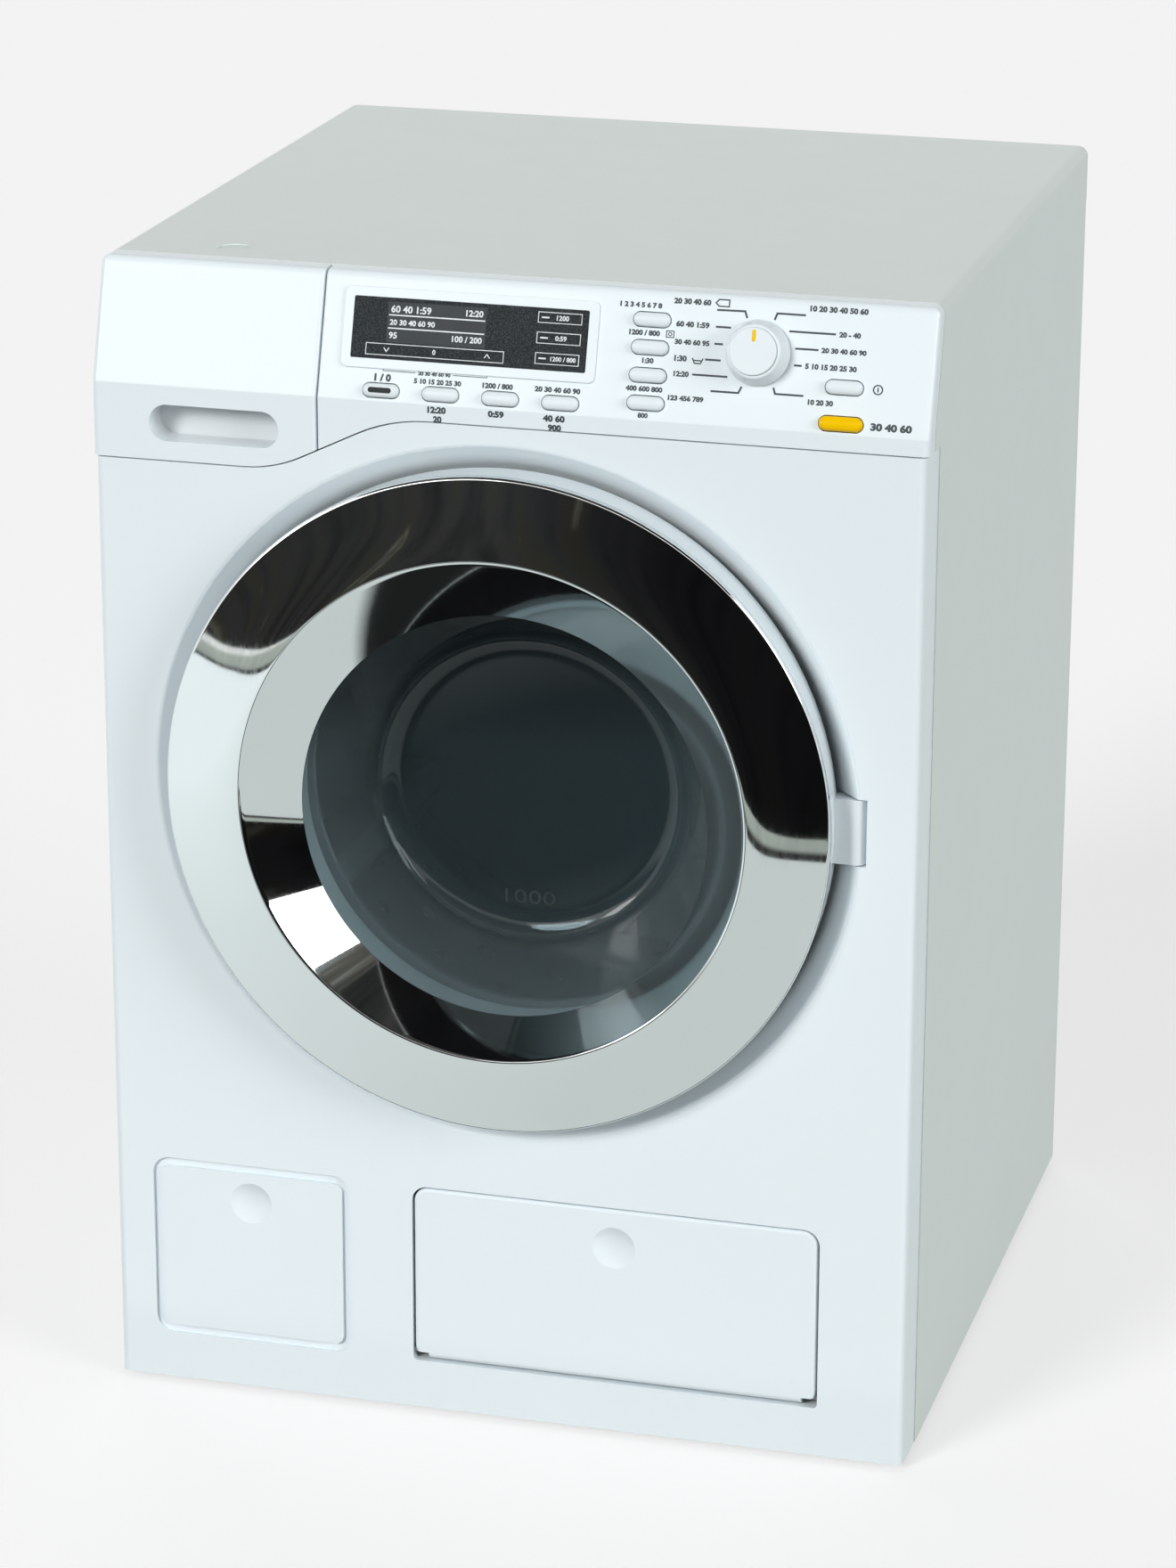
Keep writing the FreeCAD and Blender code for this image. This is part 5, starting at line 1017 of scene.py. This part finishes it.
darkLine = ((0.95, -0.117), (0.55, -0.298), (0.087, -0.50), (-0.093, -0.60), (-0.217, -0.70),
            (-0.733, -0.963), (-1.5, -1.25))
footGap = 0.012
cards = {
    "darkCard": {
        "feet": [(x, y, 0) for x, y in darkLine], "tops": (0.31, 0.31, 0.36, 0.385, 0.385, 0.40, 0.40),
        "stops": ((0.0, (0.030, 0.031, 0.030)), (1.0, (0.034, 0.035, 0.036))),
        "sideStops": ((0.30, (0.8, 0.8, 0.8)), (0.42, (1, 1, 1)), (0.525, (0.2, 0.2, 0.22))),
        "streakStops": ((0.30, (0.4, 0.4, 0.4)), (0.50, (1, 1, 1)), (0.60, (1.1, 1.0, 0.75)),
                        (0.635, (4.2, 4.0, 3.2)), (0.66, (1.2, 1.1, 0.9)), (0.75, (2.4, 2.8, 3.2))),
    },
    "footCard": {
        "feet": [(x, y + footGap, 0) for x, y in darkLine],
        "tops": (0.02, 0.02, 0.021, 0.026, 0.032, 0.05, 0.05),
        "stops": ((0.0, (0.03, 0.03, 0.03)), (0.12, (0.03, 0.03, 0.03)), (0.2, (0.40, 0.45, 0.41)),
                  (0.64, (0.43, 0.48, 0.43)), (0.72, (0.82, 0.86, 0.84)), (0.92, (0.85, 0.89, 0.87)),
                  (1.0, (0.3, 0.32, 0.31))),
        "streakStops": ((0.3, (0.8, 0.8, 0.8)), (0.7, (1.1, 1.1, 1.1))),
    },
    "softCard": {
        "feet": ((-0.28, -1.10, 0.42), (-1.6, -0.9, 0.42)), "tops": (0.95, 0.95),
        "stops": evenStops(2, 2, 2),
    },
    "leftStrip": {
        "feet": ((-0.92, -0.86, 0.47), (-1.12, -0.66, 0.47)), "tops": (0.80, 0.80),
        "stops": evenStops(9, 9, 9),
    },
    "rightSoft": {
        "feet": ((0.883, -0.56, 0.39), (1.0, -0.125, 0.39)), "tops": (0.99, 0.99),
        "stops": evenStops(4, 4, 4),
    },
    "darkRoof": {
        "feet": ((-0.9, -1.2, 1.05), (1.03, -1.2, 1.05)), "tops": ((-0.9, 1.2, 1.05), (1.03, 1.2, 1.05)),
        "stops": evenStops(0.03, 0.032, 0.032), "streak": 300, "drawn": 1.0,
        "streakStops": ((0.35, (0.5, 0.5, 0.5)), (0.5, (1, 1, 1)), (0.62, (3.5, 3.2, 2.8)),
                        (0.72, (8, 8.5, 8.5))),
    },
}
makeFloor()
makeWorld()
for lamp in ("key", "fill", "back"):
    makeLamp(lamp + "Lamp", studio[lamp + "To"], studio[lamp + "Power"], studio[lamp + "Angle"])
for name, card in cards.items():
    makeCard(name, card)
print("stage: floor, 3 lamps,", len(cards), "cards")


# camera at the photograph's viewing angle: heading, downward pitch and roll about the line of sight

view = {"place": (291.638, -1077.385, 504.253), "heading": 15.365, "pitch": 18.781, "roll": 0.161,
        "lens": 115.58, "sensor": 36, "near": 0.05, "far": 50}
heading, pitch, roll = (math.radians(view[key]) for key in ("heading", "pitch", "roll"))
level = Vector((math.cos(heading), math.sin(heading), 0))
sight = Vector((
    -math.sin(heading) * math.cos(pitch), math.cos(heading) * math.cos(pitch), -math.sin(pitch)))
upright = level.cross(sight)
right = level * math.cos(roll) + upright * math.sin(roll)
up = upright * math.cos(roll) - level * math.sin(roll)
lens = bpy.data.cameras.new("photoCamera")
lens.lens = view["lens"]
lens.sensor_width = view["sensor"]
lens.clip_start, lens.clip_end = view["near"], view["far"]
photoCamera = bpy.data.objects.new("photoCamera", lens)
turn = Matrix((right, up, -sight)).transposed().to_4x4()
photoCamera.matrix_world = Matrix.Translation(Vector(view["place"]) * mm) @ turn
scene.collection.objects.link(photoCamera)
scene.camera = photoCamera
scene.view_settings.view_transform = "Standard"
